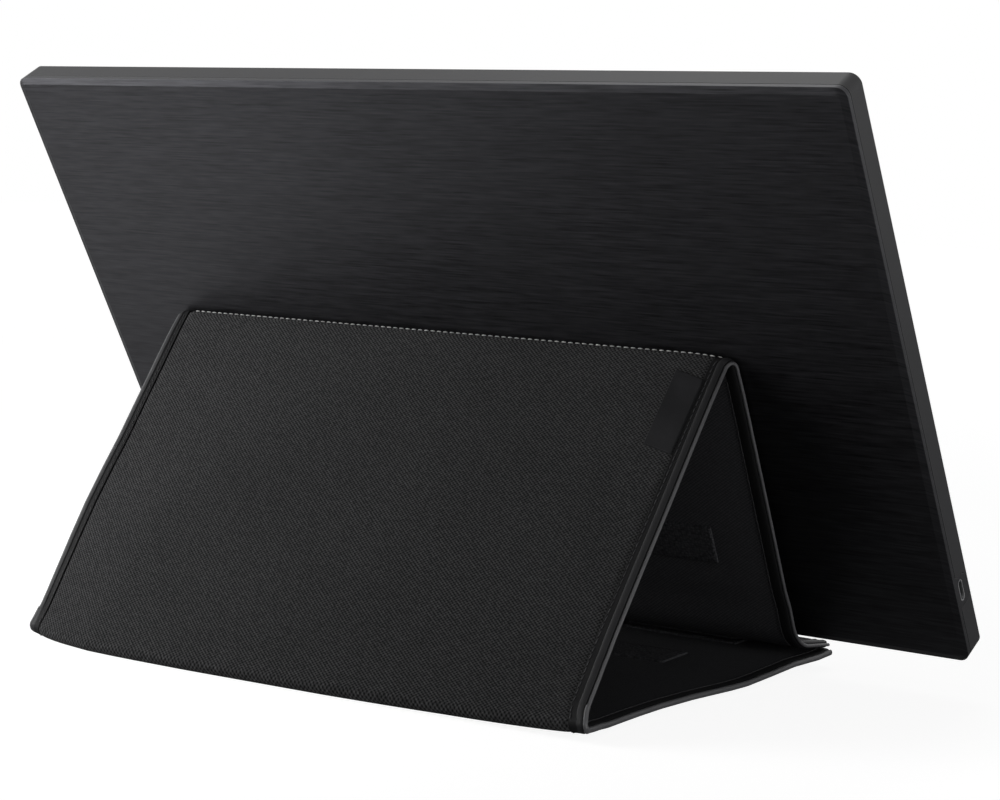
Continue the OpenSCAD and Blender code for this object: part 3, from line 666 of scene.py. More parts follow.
def tube_faces(rings: int, sides: int, first: int = 0) -> list[tuple[int, ...]]:
    """Lists the faces of a closed tube with a cap at both ends.

    Args:
        rings: How many rings of vertices there are.
        sides: How many vertices there are in a ring.
        first: The number of the tube's first vertex.

    Returns:
        Each face's vertex numbers.
    """
    faces: list[tuple[int, ...]] = []
    for start in range(first, first + (rings - 1) * sides, sides):
        for i in range(sides):
            j = (i + 1) % sides
            faces.append((start + i, start + j, start + sides + j, start + sides + i))
    last = first + (rings - 1) * sides
    faces.append(tuple(range(first + sides - 1, first - 1, -1)))
    faces.append(tuple(range(last, last + sides)))
    return faces


# ---------------------------------------------------------------- the cover's folded shape


def rounded_path(corners: list[tuple[float, float, float]], step: float) -> Array:
    """Turns a bent line into one with rounded corners.

    Args:
        corners: Each corner's Y, Z and rounding radius, in mm.
        step: The most distance between points on a rounding.

    Returns:
        The path's points.
    """
    places = np.array([c[:2] for c in corners])
    path = [places[0]]
    for before, here, after, radius in zip(places, places[1:], places[2:], [c[2] for c in corners[1:]]):
        a, b = (before - here), (after - here)
        a, b = a / np.linalg.norm(a), b / np.linalg.norm(b)
        half = math.acos(float(np.clip(a @ b, -1, 1))) / 2
        reach = radius / math.tan(half)
        centre = here + (a + b) / np.linalg.norm(a + b) * radius / math.sin(half)
        start, end = here + a * reach - centre, here + b * reach - centre
        turn = math.atan2(start[0] * end[1] - start[1] * end[0], float(start @ end))
        count = max(4, math.ceil(abs(turn) * radius / step))
        for i in range(count + 1):
            angle = turn * i / count
            c, s = math.cos(angle), math.sin(angle)
            path.append(centre + np.array([start[0] * c - start[1] * s, start[0] * s + start[1] * c]))
    path.append(places[-1])
    return np.array(path)


class Edge(Enum):
    """The cover's two long edges, seen with the monitor's back towards the viewer."""

    RIGHT = -1
    LEFT = 1


@dataclass
class CoverShape:
    """The folded cover: its side view as one path, the lines of its edges, and where it sags or lifts.

    Lengths and places are in mm. The shift takes the side view's Y to the part's own, the apex, the
    corner and the gutter's place are Y and Z of the ridge, the table fold and the ledge's hinge, and
    half is half of the cover's thickness.
    """

    shift: float = 72.0288
    apex: tuple[float, float] = (64.86, 124.65)
    corner: tuple[float, float] = (163.0, 1.3)
    gutter_place: tuple[float, float] = (1.94, 10.6)
    crease_r: float = 1.8
    half: float = 1.3

    def __post_init__(self) -> None:
        """Builds the side path from the ledge's tip over the ridge and the fold to the base's tail."""
        # Y, Z and rounding: the ledge and the gutter under the monitor, the rear panel's lower bend,
        # the ridge, the fold on the table, and the base, which rises to its tail under the ledge
        corners = [
            (-16.9, 8.55, 0),
            (8.32, 11.31, 17),
            (15.9, 27.25, 12),
            (20.3, 34.3, 16),
            (*self.apex, self.crease_r),
            (*self.corner, self.crease_r),
            (48.0, self.half, 60),
            (-17.4, 5.45, 0),
        ]
        self.path = rounded_path(corners, 0.5)
        steps = np.linalg.norm(np.diff(self.path, axis=0), axis=1)
        self.along = np.concatenate([[0], np.cumsum(steps)])
        tangent = np.gradient(self.path, self.along, axis=0)
        tangent /= np.linalg.norm(tangent, axis=1)[:, None]
        self.normal = np.stack([-tangent[:, 1], tangent[:, 0]], axis=1)
        self.ridge = float(self.along[np.argmax(self.path[:, 1])])
        self.fold = float(self.along[np.argmax(self.path[:, 0])])
        self.end = float(self.along[-1])
        near = np.hypot(*(self.path - self.gutter_place).T)
        self.gutter = float(self.along[int(near.argmin())])

    def edge_x(self, s: Array, edge: Edge) -> Array:
        """Gives X of one long edge of the cover.

        Args:
            s: Distances along the path.
            edge: Which edge.

        Returns:
            X of the edge at each distance.
        """
        d = np.asarray(s, float) - self.ridge
        if edge is Edge.RIGHT:
            at = [
                -150, -110, -60, -20, -2, 0, 3, 15, 40, 65, 90, 116,
                128, 134, 142, 147, 150, 152, 155, 160, 168, 240, 340,
            ]
            x = [
                125, 125.2, 125.3, 125.2, 125.2, 124.4, 123.1, 123.4, 123.9, 124.5, 124.9, 125.5,
                126.1, 126.7, 127.3, 127.7, 128.4, 129.3, 130, 128.6, 127.4, 126.5, 126,
            ]
            return -np.interp(d, at, x)
        at = [-150, -60, -20, 0, 8, 20, 32, 48, 64, 80, 96, 112, 128, 144, 152, 158, 175, 220, 340]
        x = [
            140, 142.5, 144.6, 145.9, 145.6, 144.5, 143.4, 142.1, 140.7, 140,
            138.9, 136.8, 134.2, 131.3, 130.8, 131.2, 132.4, 136, 139,
        ]
        return np.interp(d, at, x)

    def width(self, s: float) -> float:
        """Gives the distance in mm between the cover's long edges at a distance along the path."""
        return float(self.edge_x(s, Edge.LEFT) - self.edge_x(s, Edge.RIGHT))

    def bow(self, s: Array, x: Array) -> Array:
        """Gives the shift in Y of the soft front and base, which is pulled out most at their fold.

        Args:
            s: Distances along the path.
            x: X of the points, of the same shape.

        Returns:
            The shifts in mm.
        """
        front = np.clip((s - self.ridge) / (self.fold - self.ridge), 0, 1)
        base = np.clip(1 - (s - self.fold) / (self.end - self.fold), 0, 1)
        at = [-125, -100, -71, -61, -41, -20, 1, 23, 45, 68, 81, 94, 110, 126, 132]
        push = [-1.3, -0.6, 0.4, 1.2, 2.8, 4.4, 5.4, 6.5, 7.6, 8.1, 8.1, 7.7, 4.9, 1.6, 0.6]
        return np.interp(x, at, push) * np.where(s < self.fold, front, base)

    def lift(self, s: Array, x: Array) -> Array:
        """Gives the shift in Z, where the cover lifts, sags or droops.

        Args:
            s: Distances along the path.
            x: X of the points, of the same shape.

        Returns:
            The shifts in mm.
        """
        # the right edge of the base lifts in waves, and the left corner curls up
        back = s - self.fold
        at = [-30, 0, 8, 18, 28, 38, 53, 75, 103, 132, 150, 169, 176]
        up = [0, 2.9, 2.15, 1.75, 2.15, 2.5, 2.8, 2.6, 1.7, 1.35, 1.3, 0, 0]
        wave = np.interp(back, at, up) * np.exp(-np.clip(x + 126, 0, None) / 34)
        curl = 1.5 * np.exp(-(((x - 133) / 11) ** 2)) * np.exp(-((back / 26) ** 2))
        # the cloth is a little uneven between its folds
        swell = np.sin(x / 37 + 0.6) * np.sin(s / 41 + 1.1) + 0.6 * np.sin(x / 17 - s / 29)
        flat = np.clip(np.minimum(abs(s - self.ridge), abs(s - self.fold)) / 25, 0, 1)
        # the ridge droops at both ends, where only the tape holds it
        ends = 1.2 * np.clip((-107 - x) / 17.6, 0, 1) ** 1.3 + 0.9 * np.clip((x - 137) / 9, 0, 1) ** 1.5
        droop = ends * np.exp(-(((s - self.ridge) / 12) ** 2))
        return wave + curl + 0.1 * swell * flat - droop

    def place(self, s: Array, x: Array, out: Array | float) -> Array:
        """Gives points on the cover in the part's own frame.

        Args:
            s: Distances along the path.
            x: X of the points, of the same shape.
            out: Distances outwards from the cover's middle layer.

        Returns:
            The points, in mm, with a last axis of 3.
        """
        s, x = np.broadcast_arrays(np.asarray(s, float), np.asarray(x, float))
        y = np.interp(s, self.along, self.path[:, 0])
        z = np.interp(s, self.along, self.path[:, 1])
        ny = np.interp(s, self.along, self.normal[:, 0])
        nz = np.interp(s, self.along, self.normal[:, 1])
        size = np.hypot(ny, nz)
        y = y + out * ny / size + self.bow(s, x) - self.shift
        z = z + out * nz / size + self.lift(s, x)
        return np.stack([x, y, z], axis=-1)

    def stations(self, start: float, end: float, step: float = 2.5) -> Array:
        """Gives distances between two places on the path, close together where it bends.

        Args:
            start: The first distance.
            end: The last distance.
            step: The spacing on the flat.

        Returns:
            The distances in order.
        """
        bends = self.along[(self.along > start) & (self.along < end)]
        even = np.linspace(start, end, max(2, math.ceil((end - start) / step) + 1))
        merged = np.unique(np.concatenate([even, bends]))
        keep = [merged[0]]
        for value in merged[1:-1]:
            if value - keep[-1] > 0.3 and merged[-1] - value > 0.3:
                keep.append(value)
        return np.array(keep + [merged[-1]])


@dataclass(frozen=True)
class Stretch:
    """A length of the cover, the one or two bodies that it lies on, and where it turns from one to the other.
    """

    name: str
    start: float
    end: float
    bodies: tuple[str, ...]
    bend_from: float = 0.0
    bend_to: float = 0.0


@dataclass
class Cover:
    """The fabric cover, folded into a three-sided stand, with thicknesses, widths and lengths in mm."""

    shape: CoverShape
    cloth_t: float = 0.6
    bind_w: float = 6.7
    piping_r: float = 0.64
    base_piping: tuple[float, float] = (1.2, 1.75)
    fold_reach: float = 8.0
    tab_w: float = 12.95
    tab_len: float = 32.7
    tab_t: float = 0.8
    tab_slant: float = 0.24
    strip_t: float = 0.85
    board_t: float = 1.36
    lining_inset: float = 4.6
    stitch_len: float = 2.7
    stitch_pitch: float = 3.0
    thread_rise: float = 0.12
    ridge_thread_r: float = 0.27
    binding_thread_r: float = 0.22

    def stretches(self) -> list[Stretch]:
        """Lists the cover's lengths from the ledge's tip to the base's tail.

        Returns:
            The four stretches, each of which starts where the one before ends.
        """
        s, r = self.shape, self.fold_reach
        hinge = s.gutter + 1.5
        return [
            Stretch("ledge", 0.0, hinge, ("rear_panel", "ledge"), s.gutter + 1.2, s.gutter - 1.8),
            Stretch("rear", hinge, s.ridge - r, ("rear_panel",)),
            Stretch(
                "front", s.ridge - r, s.fold - r, ("rear_panel", "front_panel"), s.ridge - r, s.ridge + r
            ),
            Stretch("base", s.fold - r, s.end, ("front_panel", "base_panel"), s.fold - r, s.fold + r),
        ]

    def mount(self, piece: Object, stretch: Stretch) -> Object:
        """Makes a piece move with its stretch's body; a piece over two bodies is only baked in place.

        Args:
            piece: The piece.
            stretch: The stretch that it covers.

        Returns:
            The piece.
        """
        if len(stretch.bodies) == 1:
            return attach(piece, stretch.bodies[0])
        ends = [self.shape.place(s, 0.0, 0.0) * MM for s in (stretch.bend_from, stretch.bend_to)]
        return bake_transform(piece, *stretch.bodies, start=tuple(ends[0]), end=tuple(ends[1]))

    def layer(
        self,
        name: str,
        stretch: Stretch,
        inset: float,
        outs: tuple[float, float],
        surface: Surface,
        relief: Callable[[Array], Array] | None = None,
        columns: int = 90,
    ) -> Object:
        """Makes one layer of the cover over a stretch.

        Args:
            name: The piece's name.
            stretch: The stretch.
            inset: How far the layer stays inside the cover's long edges.
            outs: Its outer and inner distances from the middle layer.
            surface: The finish.
            relief: Extra height of the outer face, worked out from the distance to the nearer edge.
            columns: How many points there are across.

        Returns:
            The layer.
        """
        s = self.shape.stations(stretch.start, stretch.end)
        right = self.shape.edge_x(s, Edge.RIGHT) + inset
        left = self.shape.edge_x(s, Edge.LEFT) - inset
        # shares of the width, close together beside both edges
        t = np.concatenate([[0, 0.003, 0.007], np.linspace(0.014, 0.986, columns), [0.993, 0.997, 1]])
        x = right[:, None] * (1 - t) + left[:, None] * t
        grid_s = np.repeat(s[:, None], len(t), axis=1)
        room = np.minimum(x - right[:, None], left[:, None] - x)
        out = np.full_like(x, outs[0]) + (relief(room) if relief else 0)
        outer = self.shape.place(grid_s, x, out)
        inner = self.shape.place(grid_s, x, outs[1])
        uv = np.stack([x, -grid_s], axis=-1)
        return slab(name, outer, inner, uv, surface)

    def fit_sheet(self, piece: Object, stretch: Stretch, inset: float, nodes: list[str]) -> None:
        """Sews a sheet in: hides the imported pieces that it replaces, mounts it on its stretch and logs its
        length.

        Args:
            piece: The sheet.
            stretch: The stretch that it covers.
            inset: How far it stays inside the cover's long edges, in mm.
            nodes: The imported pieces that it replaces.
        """
        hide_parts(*nodes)
        self.mount(piece, stretch)
        width, length = self.shape.width(stretch.start) - 2 * inset, stretch.end - stretch.start
        LOG.info("%s: a sheet over %.0f mm", piece.name, length)

    def build_cloth(self) -> None:
        """Makes the woven outer cloth, which tucks under the binding's piping."""
        h, inset = self.shape.half, self.bind_w - 0.6

        def tuck(room: Array) -> Array:
            """Dips the cloth beside the binding."""
            return -0.5 * np.exp(-np.clip(room - 0.4, 0, None) / 0.7)

        nodes = {
            "ledge": ["ledge_cloth"],
            "rear": ["rear_outer_cloth"],
            "front": ["front_outer_cloth", "ridge_fold_strip"],
            "base": ["base_outer_cloth", "base_fold_strip"],
        }
        for stretch in self.stretches():
            name = f"{stretch.name}_woven_cloth"
            piece = self.layer(name, stretch, inset, (h, h - self.cloth_t), Surface.CLOTH, tuck)
            self.fit_sheet(piece, stretch, inset, nodes[stretch.name])

    def build_lining(self) -> None:
        """Makes the lining inside the stand, a woven cloth brushed to a soft face, lighter in colour as
        painted light for the dim inside.
        """
        outs = (self.cloth_t - self.shape.half, -self.shape.half)
        for stretch in self.stretches():
            name, inset = f"{stretch.name}_brushed_lining", self.lining_inset
            piece = self.layer(name, stretch, inset, outs, Surface.LINING, columns=60)
            self.fit_sheet(piece, stretch, inset, [f"{stretch.name}_lining"])

    def build_boards(self) -> None:
        """Makes the three stiffening boards between cloth and lining."""
        s, clear, half_t = self.shape, self.fold_reach + 2.5, self.board_t / 2
        boards = [
            Stretch("rear", s.ridge - 102, s.ridge - clear, ("rear_panel",)),
            Stretch("front", s.ridge + clear, s.fold - clear, ("front_panel",)),
            Stretch("base", s.fold + clear, s.fold + 112, ("base_panel",)),
        ]
        for stretch in boards:
            name = f"{stretch.name}_stiff_board"
            piece = self.layer(name, stretch, 3.0, (half_t, -half_t), Surface.BOARD, columns=40)
            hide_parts(f"{stretch.name}_board")
            self.mount(piece, stretch)
            LOG.info("%s: %.0f mm long", name, stretch.end - stretch.start)

    def edge_piece(self, name: str, stretch: Stretch, edge: Edge, profile: Array, surface: Surface) -> None:
        """Sweeps one section along a long edge.

        Args:
            name: The piece's name.
            stretch: The stretch it covers.
            edge: The long edge it follows.
            profile: The section's points: distance in from the edge, and height above the middle layer.
            surface: The finish.
        """
        shape = self.shape
        s = shape.stations(stretch.start, stretch.end, 1.6)
        turn = np.roll(profile, -1, axis=0) - profile
        around = np.concatenate([[0], np.cumsum(np.hypot(*turn.T))[:-1]])
        x = shape.edge_x(s, edge)[:, None] - edge.value * profile[None, :, 0]
        grid_s = np.repeat(s[:, None], len(profile), axis=1)
        # under the base the tape lies flush, so that the cover stands flat; it sinks before the fold
        sinks_from, sinks_over = shape.fold - 12, 10
        flush = np.clip((s - sinks_from) / sinks_over, 0, 1)[:, None]
        raised = profile[None, :, 1]
        out = raised * (1 - flush) + np.minimum(raised, shape.half) * flush
        ring = shape.place(grid_s, x, out)
        uv = np.stack([np.repeat(around[None, :], len(s), axis=0), grid_s], axis=-1)
        if edge is Edge.LEFT:
            ring, uv = ring[:, ::-1], uv[:, ::-1]
        faces = tube_faces(*ring.shape[:2])
        piece = make_object(name, ring.reshape(-1, 3), faces, uv.reshape(-1, 2), surface, sharp=60)
        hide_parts(f"{stretch.name}_bindings")
        self.mount(piece, stretch)
        LOG.info("%s: %d rings", name, len(ring))

    def build_bindings(self) -> None:
        """Makes the rolled piping, the folded band and the flat tape along both long edges."""
        turns = np.radians(np.arange(0, 360, 30))
        piping = self.piping_r * np.stack([1 - np.cos(turns), np.sin(turns)], axis=1)
        # distance in from the edge, and height above the middle layer
        band = np.array(
            [
                (3.75, 1.1), (3.75, 1.4), (3.62, 1.54), (3.3, 1.64), (2.8, 1.62), (2.3, 1.52), (1.9, 1.38),
                (1.6, 1.2), (1.4, 0.95), (1.5, 0.8), (3.4, 1.0),
            ]
        )
        tape = np.array(
            [
                (6.7, 0.8), (6.7, 1.36), (6.6, 1.5), (6.3, 1.54), (6.05, 1.44), (5.7, 1.38), (4.2, 1.36),
                (3.5, 1.3), (2.4, 1.24), (1.6, 1.0), (1.25, 0.6), (1.15, 0.0), (1.25, -0.6), (1.5, -0.95),
                (2.2, -1.3), (3.2, -1.42), (5.0, -1.46), (5.35, -1.4), (5.45, -1.1), (5.45, -0.2),
            ]
        )
        for stretch in self.stretches():
            for edge in Edge:
                side = f"{stretch.name}_{edge.name.lower()}"
                grow = np.array(self.base_piping if stretch.name == "base" else (1.0, 1.0))
                # the piping's light grey colour is a painted highlight along the rounded edge
                self.edge_piece(f"{side}_piping", stretch, edge, piping[::-1] * grow, Surface.PIPING)
                self.edge_piece(f"{side}_binding", stretch, edge, band, Surface.BINDING)
                self.edge_piece(f"{side}_flat_tape", stretch, edge, tape, Surface.FLAT_TAPE)

    def stitch_row(
        self, name: str, places: list[tuple[Array, ...]], radius: float, surface: Surface
    ) -> Object:
        """Makes a row of sewn stitches, each a short thread whose ends sink into the cloth.

        Args:
            name: The piece's name.
            places: Each stitch's two ends, in mm.
            radius: The thread's radius in mm.
            surface: The finish.

        Returns:
            All the stitches as one object.
        """
        points, faces, uv = [], [], []
        sides, spans, swell = 6, (0.0, 0.12, 0.5, 0.88, 1.0), (0.25, 0.85, 1.0, 0.85, 0.25)
        for a, b in places:
            length = np.linalg.norm(b - a)
            along = (b - a) / length
            side = np.cross(along, [0.0, 0.3, 1.0])
            side /= np.linalg.norm(side)
            up = np.cross(side, along)
            faces += tube_faces(len(spans), sides, len(points))
            for t, k in zip(spans, swell):
                for i in range(sides):
                    angle = math.tau * i / sides
                    offset = radius * k * (math.cos(angle) * side + math.sin(angle) * up)
                    points.append(a + (b - a) * t + offset - up * radius * (1 - k))
                    uv.append((i * 0.4, t * length))
        return make_object(name, np.array(points), faces, np.array(uv, float), surface, sharp=80)

    def build_ridge_seam(self) -> None:
        """Sews the pale seam along the ridge, whose thread colour is partly a painted highlight."""
        s = self.shape
        at, out = s.ridge + 0.3, s.half + self.thread_rise
        first, last, pitch, length = -119.5, 136.5, 3.1, 2.1
        row = [
            tuple(s.place(at, x + d, out) for d in (0.0, length)) for x in np.arange(first, last, pitch)
        ]
        piece = self.stitch_row("ridge_seam_stitches", row, self.ridge_thread_r, Surface.THREAD)
        tuple(s.place(s.ridge - self.fold_reach, 0.0, 0.0) * MM)
        tuple(s.place(s.ridge + self.fold_reach, 0.0, 0.0) * MM)
        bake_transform(piece)

    def build_binding_seams(self) -> None:
        """Sews the seams that hold the bindings, outside beside the band and inside on two panels."""
        s, ends = self.shape, (0.0, self.stitch_len)
        inner_insets = {"rear": 5.4, "base": 5.0}
        out, inner_out, lean = s.half + self.thread_rise, -s.half - 0.25, 0.14
        for stretch in self.stretches():
            row = []
            for edge in Edge:
                for at in np.arange(stretch.start + 1.0, stretch.end - 3.0, self.stitch_pitch):
                    # the outer seam comes nearer to the edge towards the ridge
                    inset = float(np.interp(abs(at - s.ridge), [10, 125], [4.8, 5.9]))
                    x = [float(s.edge_x(at + d, edge)) - edge.value * (inset + lean * d) for d in ends]
                    row.append(tuple(s.place(at + d, place, out) for d, place in zip(ends, x)))
                    if stretch.name in inner_insets:
                        x = float(s.edge_x(at, edge)) - edge.value * inner_insets[stretch.name]
                        row.append(tuple(s.place(at + d, x, inner_out) for d in ends))
            name = f"{stretch.name}_binding_stitches"
            piece = self.stitch_row(name, row, self.binding_thread_r, Surface.DARK_THREAD)
            self.mount(piece, stretch)
            LOG.info("%s: %d stitches", name, len(row))

    def patch(
        self,
        name: str,
        span: tuple[float, float],
        across: tuple[float, float],
        outs: tuple[float, float],
        surface: Surface,
        edge_r: float = 0.4,
        slant: float = 0.0,
    ) -> Object:
        """Makes a sewn-on strip with rounded edges that follows the cover.

        Args:
            name: The piece's name.
            span: Its first and last distance along the path.
            across: Its lowest and highest X.
            outs: Its visible face's and its sewn face's distance from the middle layer.
            surface: The finish.
            edge_r: The rounding of its edges.
            slant: How far its ends slope along the path for each mm of X.

        Returns:
            The strip.
        """
        rim = np.array([0.1, 0.4])
        s = np.concatenate([self.shape.stations(*span, 3.0), span[0] + rim, span[1] - rim])
        width = across[1] - across[0]
        steps = [[0, 0.12, 0.4], np.linspace(1.0, width - 1.0, 30), width - np.array([0.4, 0.12, 0])]
        grid_s, grid_x = np.meshgrid(np.unique(s), np.concatenate(steps) + across[0], indexing="ij")
        room = np.minimum(
            np.minimum(grid_s - span[0], span[1] - grid_s), np.minimum(grid_x - across[0], across[1] - grid_x)
        )
        fall = np.clip(1 - room / edge_r, 0, 1) ** 2
        towards = 1 if outs[0] > outs[1] else -1
        out = outs[0] - towards * fall * min(edge_r, abs(outs[0] - outs[1]) * 0.8)
        uv = np.stack([grid_x, -grid_s], axis=-1)
        grid_s = grid_s - slant * (grid_x - (across[0] + across[1]) / 2)
        faces = self.shape.place(grid_s, grid_x, out), self.shape.place(grid_s, grid_x, outs[1])
        return slab(name, *faces[::towards], uv, surface)

    def build_closures(self) -> None:
        """Makes the hook-and-loop strips that hold the stand together."""
        s, outs = self.shape, (-self.shape.half - self.strip_t, -self.shape.half + 0.05)
        long, middle, short = (-91.5, 108.5), (-98.5, 115.5), (-84.5, 101.5)
        strips = [
            ("ledge_loop_tape", (6.5, 15.5), long, "ledge_loop_strip", "ledge"),
            ("base_hook_tape", (s.end - 15.5, s.end - 6.5), long, "base_hook_strip", "base_panel"),
            ("inner_loop_tape", (s.ridge - 90, s.ridge - 74), middle, "inner_loop_patch", "rear_panel"),
            ("inner_hook_tape", (s.end - 58, s.end - 40), short, "inner_hook_strip", "base_panel"),
        ]
        for name, span, across, node, body in strips:
            piece = self.patch(name, span, across, outs, Surface.HOOK_LOOP)
            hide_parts(node)
            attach(piece, body)
            LOG.info("%s: %.0f mm long", name, across[1] - across[0])

    def build_tab(self) -> None:
        """Makes the bare sewn tab beside the right binding."""
        s = self.shape
        start = s.ridge + 9.8
        x = float(s.edge_x(start, Edge.RIGHT)) + self.bind_w - 0.6
        piece = self.patch(
            "sewn_tab",
            (start, start + self.tab_len),
            (x, x + self.tab_w),
            (s.half + self.tab_t, s.half + 0.2),
            Surface.TAB,
            edge_r=0.5,
            slant=self.tab_slant,
        )
        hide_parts("label_tab")
        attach(piece, "front_panel")
        LOG.info("sewn_tab: %.1f x %.1f mm", self.tab_w, self.tab_len)

    def build(self) -> None:
        """Makes every piece of the cover."""
        self.build_boards()
        self.build_cloth()
        self.build_lining()
        self.build_bindings()
        self.build_ridge_seam()
        self.build_binding_seams()
        self.build_closures()
        self.build_tab()


# ---------------------------------------------------------------- the monitor


@dataclass
class Monitor:
    """The reclined monitor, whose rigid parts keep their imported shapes."""

    def finishes(self) -> dict[Surface, list[str]]:
        """Lists the rigid parts by finish.

        Returns:
            The names of the parts that have each finish.
        """
        return {
            Surface.BACK: ["back_cover"],
            Surface.FRAME: ["front_frame"],
            Surface.GLASS: ["lcd_cell"],
            Surface.FILMS: ["optical_films"],
            Surface.GUIDE: ["light_guide"],
            Surface.REFLECTOR: ["reflector_sheet"],
            Surface.CHASSIS: ["panel_chassis"],
            Surface.LEDS: ["led_strip"],
            Surface.LAMINATE: ["panel_driver_board", "main_board", "key_board"],
            Surface.FLEX: ["display_cable", "key_cable"],
            Surface.CHIPS: ["board_chips"],
            Surface.SHIELD: ["shield_can"],
            Surface.SOCKET: ["port_shell"],
            Surface.PORT_PLASTIC: ["port_tongue"],
            Surface.SWITCHES: ["key_switches"],
            Surface.LIGHT_PIPE: ["status_light_pipe"],
            Surface.SCREWS: ["panel_screws", "board_screws"],
            Surface.KEYS: ["power_key", "menu_key", "brightness_key"],
        }

    def dress(self) -> None:
        """Gives each rigid part its material."""
        for surface, names in self.finishes().items():
            for name in names:
                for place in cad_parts[name].material_slots:
                    place.material = surface.material()
                LOG.info("%s: %s", name, surface.value.name)


# ---------------------------------------------------------------- studio


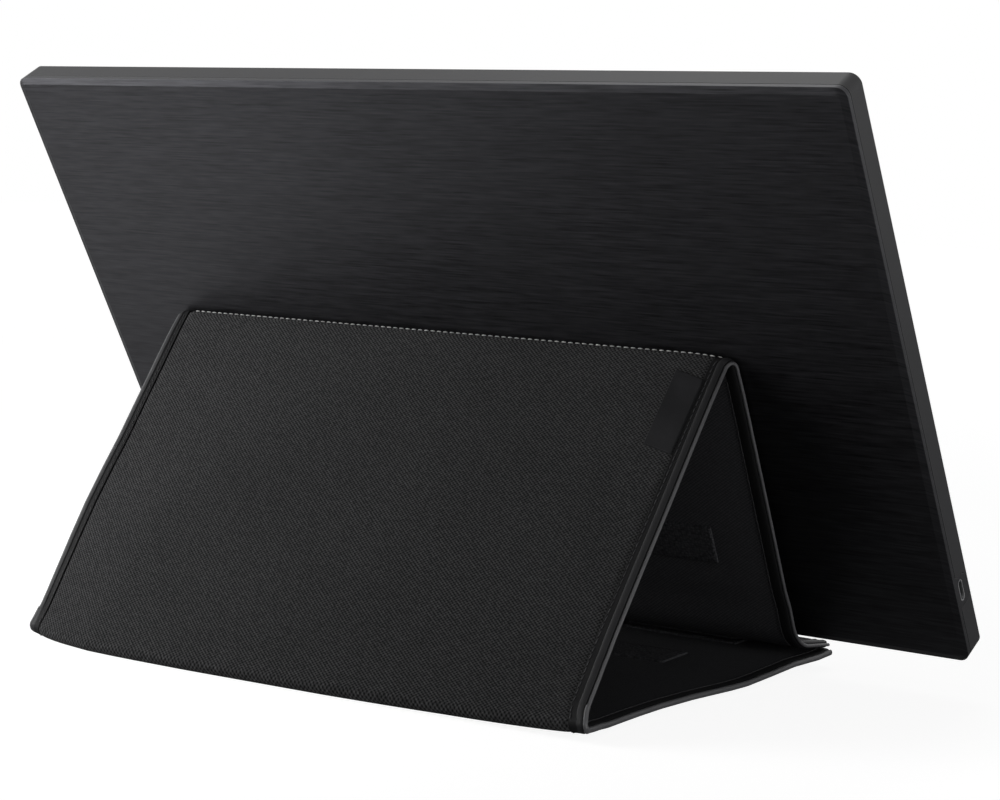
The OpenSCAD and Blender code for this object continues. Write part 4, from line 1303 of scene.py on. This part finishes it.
@dataclass
class Studio:
    """A plain white floor, soft lamps and the camera, whose place is in mm and lens in mm."""

    floor_size: float = 12.0
    fill: float = 0.055
    camera_place: tuple[float, float, float] = (-573.4, 762.67, 188.84)
    camera_right: tuple[float, float, float] = (-0.8102, -0.5851, 0.0359)
    camera_ahead: tuple[float, float, float] = (0.5802, -0.8091, -0.0932)
    lens: float = 89.24
    sensor: float = 36.0

    def seen_by(self, tree: Tree, rays: list[str], seen: Socket, other: Socket) -> Socket:
        """Mixes two shaders, the first for the rays named.

        Args:
            tree: The tree.
            rays: The kinds of ray, such as "Is Camera Ray".
            seen: The shader that those rays see.
            other: The shader that lights the object.

        Returns:
            The mixed shader.
        """
        m = Maths(tree)
        path = add_node(tree, "ShaderNodeLightPath").outputs
        share = path[rays[0]]
        for ray in rays[1:]:
            share = m.do("MAXIMUM", share, path[ray])
        return add_node(tree, "ShaderNodeMixShader", links={0: share, 1: other, 2: seen}).outputs[0]

    def build_world(self) -> None:
        """Lights the room evenly and shows white behind the object."""
        world = bpy.data.worlds.new("studio")
        bpy.context.scene.world = world
        world.use_nodes = True
        tree = world.node_tree
        tree.nodes.clear()
        white, fill = (
            add_node(tree, "ShaderNodeBackground", {"Color": linear("#ffffff"), "Strength": strength})
            for strength in (1.0, self.fill)
        )
        rays = ["Is Camera Ray", "Is Glossy Ray", "Is Transmission Ray"]
        mixed = self.seen_by(tree, rays, white.outputs[0], fill.outputs[0])
        add_node(tree, "ShaderNodeOutputWorld", links={"Surface": mixed})

    def build_floor(self) -> None:
        """Lays the plain pale floor, which keeps the object's contact shadow."""
        half = self.floor_size / 2
        corners = [(-half, -half, 0), (half, -half, 0), (half, half, 0), (-half, half, 0)]
        mesh = bpy.data.meshes.new("studio_floor")
        mesh.from_pydata(corners, [], [(0, 1, 2, 3)])
        floor = bpy.data.objects.new("studio_floor", mesh)
        bpy.context.scene.collection.objects.link(floor)
        paint = bpy.data.materials.new("white painted sweep")
        paint.use_nodes = True
        tree = paint.node_tree
        tree.nodes.clear()
        diffuse = add_node(tree, "ShaderNodeBsdfDiffuse", {"Color": linear("#959595")})
        # the floor fades to full white away from the object, where its shadow ends
        place = add_node(tree, "ShaderNodeTexCoord").outputs["Object"]
        away = add_node(tree, "ShaderNodeVectorMath", {"operation": "LENGTH"}, {0: place}).outputs["Value"]
        fade = {"From Min": 0.6, "From Max": 2.6, "To Min": 0.91, "To Max": 1.0}
        level = add_node(tree, "ShaderNodeMapRange", fade, {"Value": away}).outputs[0]
        glow = add_node(tree, "ShaderNodeEmission", {"Color": linear("#ffffff")}, {"Strength": level})
        seen = add_node(tree, "ShaderNodeAddShader", links={0: diffuse.outputs[0], 1: glow.outputs[0]})
        plain = add_node(tree, "ShaderNodeBsdfDiffuse", {"Color": linear("#e7e7e7")})
        mixed = self.seen_by(tree, ["Is Camera Ray"], seen.outputs[0], plain.outputs[0])
        add_node(tree, "ShaderNodeOutputMaterial", links={"Surface": mixed})
        mesh.materials.append(paint)

    def lamp(
        self,
        name: str,
        place: tuple[float, float, float],
        size: float,
        power: float,
        target: tuple[float, float, float] = (0, 0, 0.1),
    ) -> None:
        """Hangs a square softbox that faces a place.

        Args:
            name: The lamp's name.
            place: Its place in metres.
            size: Its side in metres.
            power: Its power in watts.
            target: What it faces, in metres.
        """
        light = bpy.data.lights.new(name, "AREA")
        light.size = size
        light.energy = power
        lamp = bpy.data.objects.new(name, light)
        lamp.location = place
        lamp.visible_camera = False
        aim = Vector(target) - Vector(place)
        lamp.rotation_euler = aim.to_track_quat("-Z", "Y").to_euler()
        bpy.context.scene.collection.objects.link(lamp)

    def build_camera(self) -> None:
        """Sets the camera at the viewing angle."""
        right = Vector(self.camera_right).normalized()
        ahead = Vector(self.camera_ahead).normalized()
        up = right.cross(ahead)
        ahead = up.cross(right)
        camera = bpy.data.objects.new("camera", bpy.data.cameras.new("camera"))
        camera.data.lens = self.lens
        camera.data.sensor_width = self.sensor
        camera.data.sensor_fit = "HORIZONTAL"
        camera.data.clip_end = 50.0
        turn = Matrix((right, up, -ahead)).transposed().to_4x4()
        camera.matrix_world = Matrix.Translation(Vector(self.camera_place) * MM) @ turn
        bpy.context.scene.collection.objects.link(camera)
        bpy.context.scene.camera = camera

    def build(self) -> None:
        """Makes the whole studio."""
        bpy.context.scene.view_settings.view_transform = "Standard"
        self.build_world()
        self.build_floor()
        self.lamp("rear_softbox", (0.6, -1.1, 1.4), 0.9, 3.9)
        self.lamp("side_softbox", (0.46, 0.26, 0.33), 0.3, 1.15, (0.25, 0.05, 0.1))
        self.lamp("left_softbox", (1.3, 0.45, 0.25), 0.6, 3.8, (0, 0.05, 0.05))
        self.lamp("near_softbox", (0.36, 0.26, 0.17), 0.2, 0.42, (0.1, 0.03, 0.05))
        self.lamp("low_softbox", (0.9, 1.2, 0.2), 0.6, 3.2, (0.05, 0, 0.02))
        self.lamp("gap_softbox", (-0.6, 0.05, 0.05), 0.25, 1.0, (-0.1, 0, 0.04))
        self.build_camera()
        LOG.info("studio: floor, world, six lamps and the camera")


def main() -> None:
    """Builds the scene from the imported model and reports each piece."""
    logging.basicConfig(level=logging.INFO, format="%(message)s")
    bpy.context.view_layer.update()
    Cover(CoverShape()).build()
    Monitor().dress()
    Studio().build()


if __name__ == "__main__":
    main()
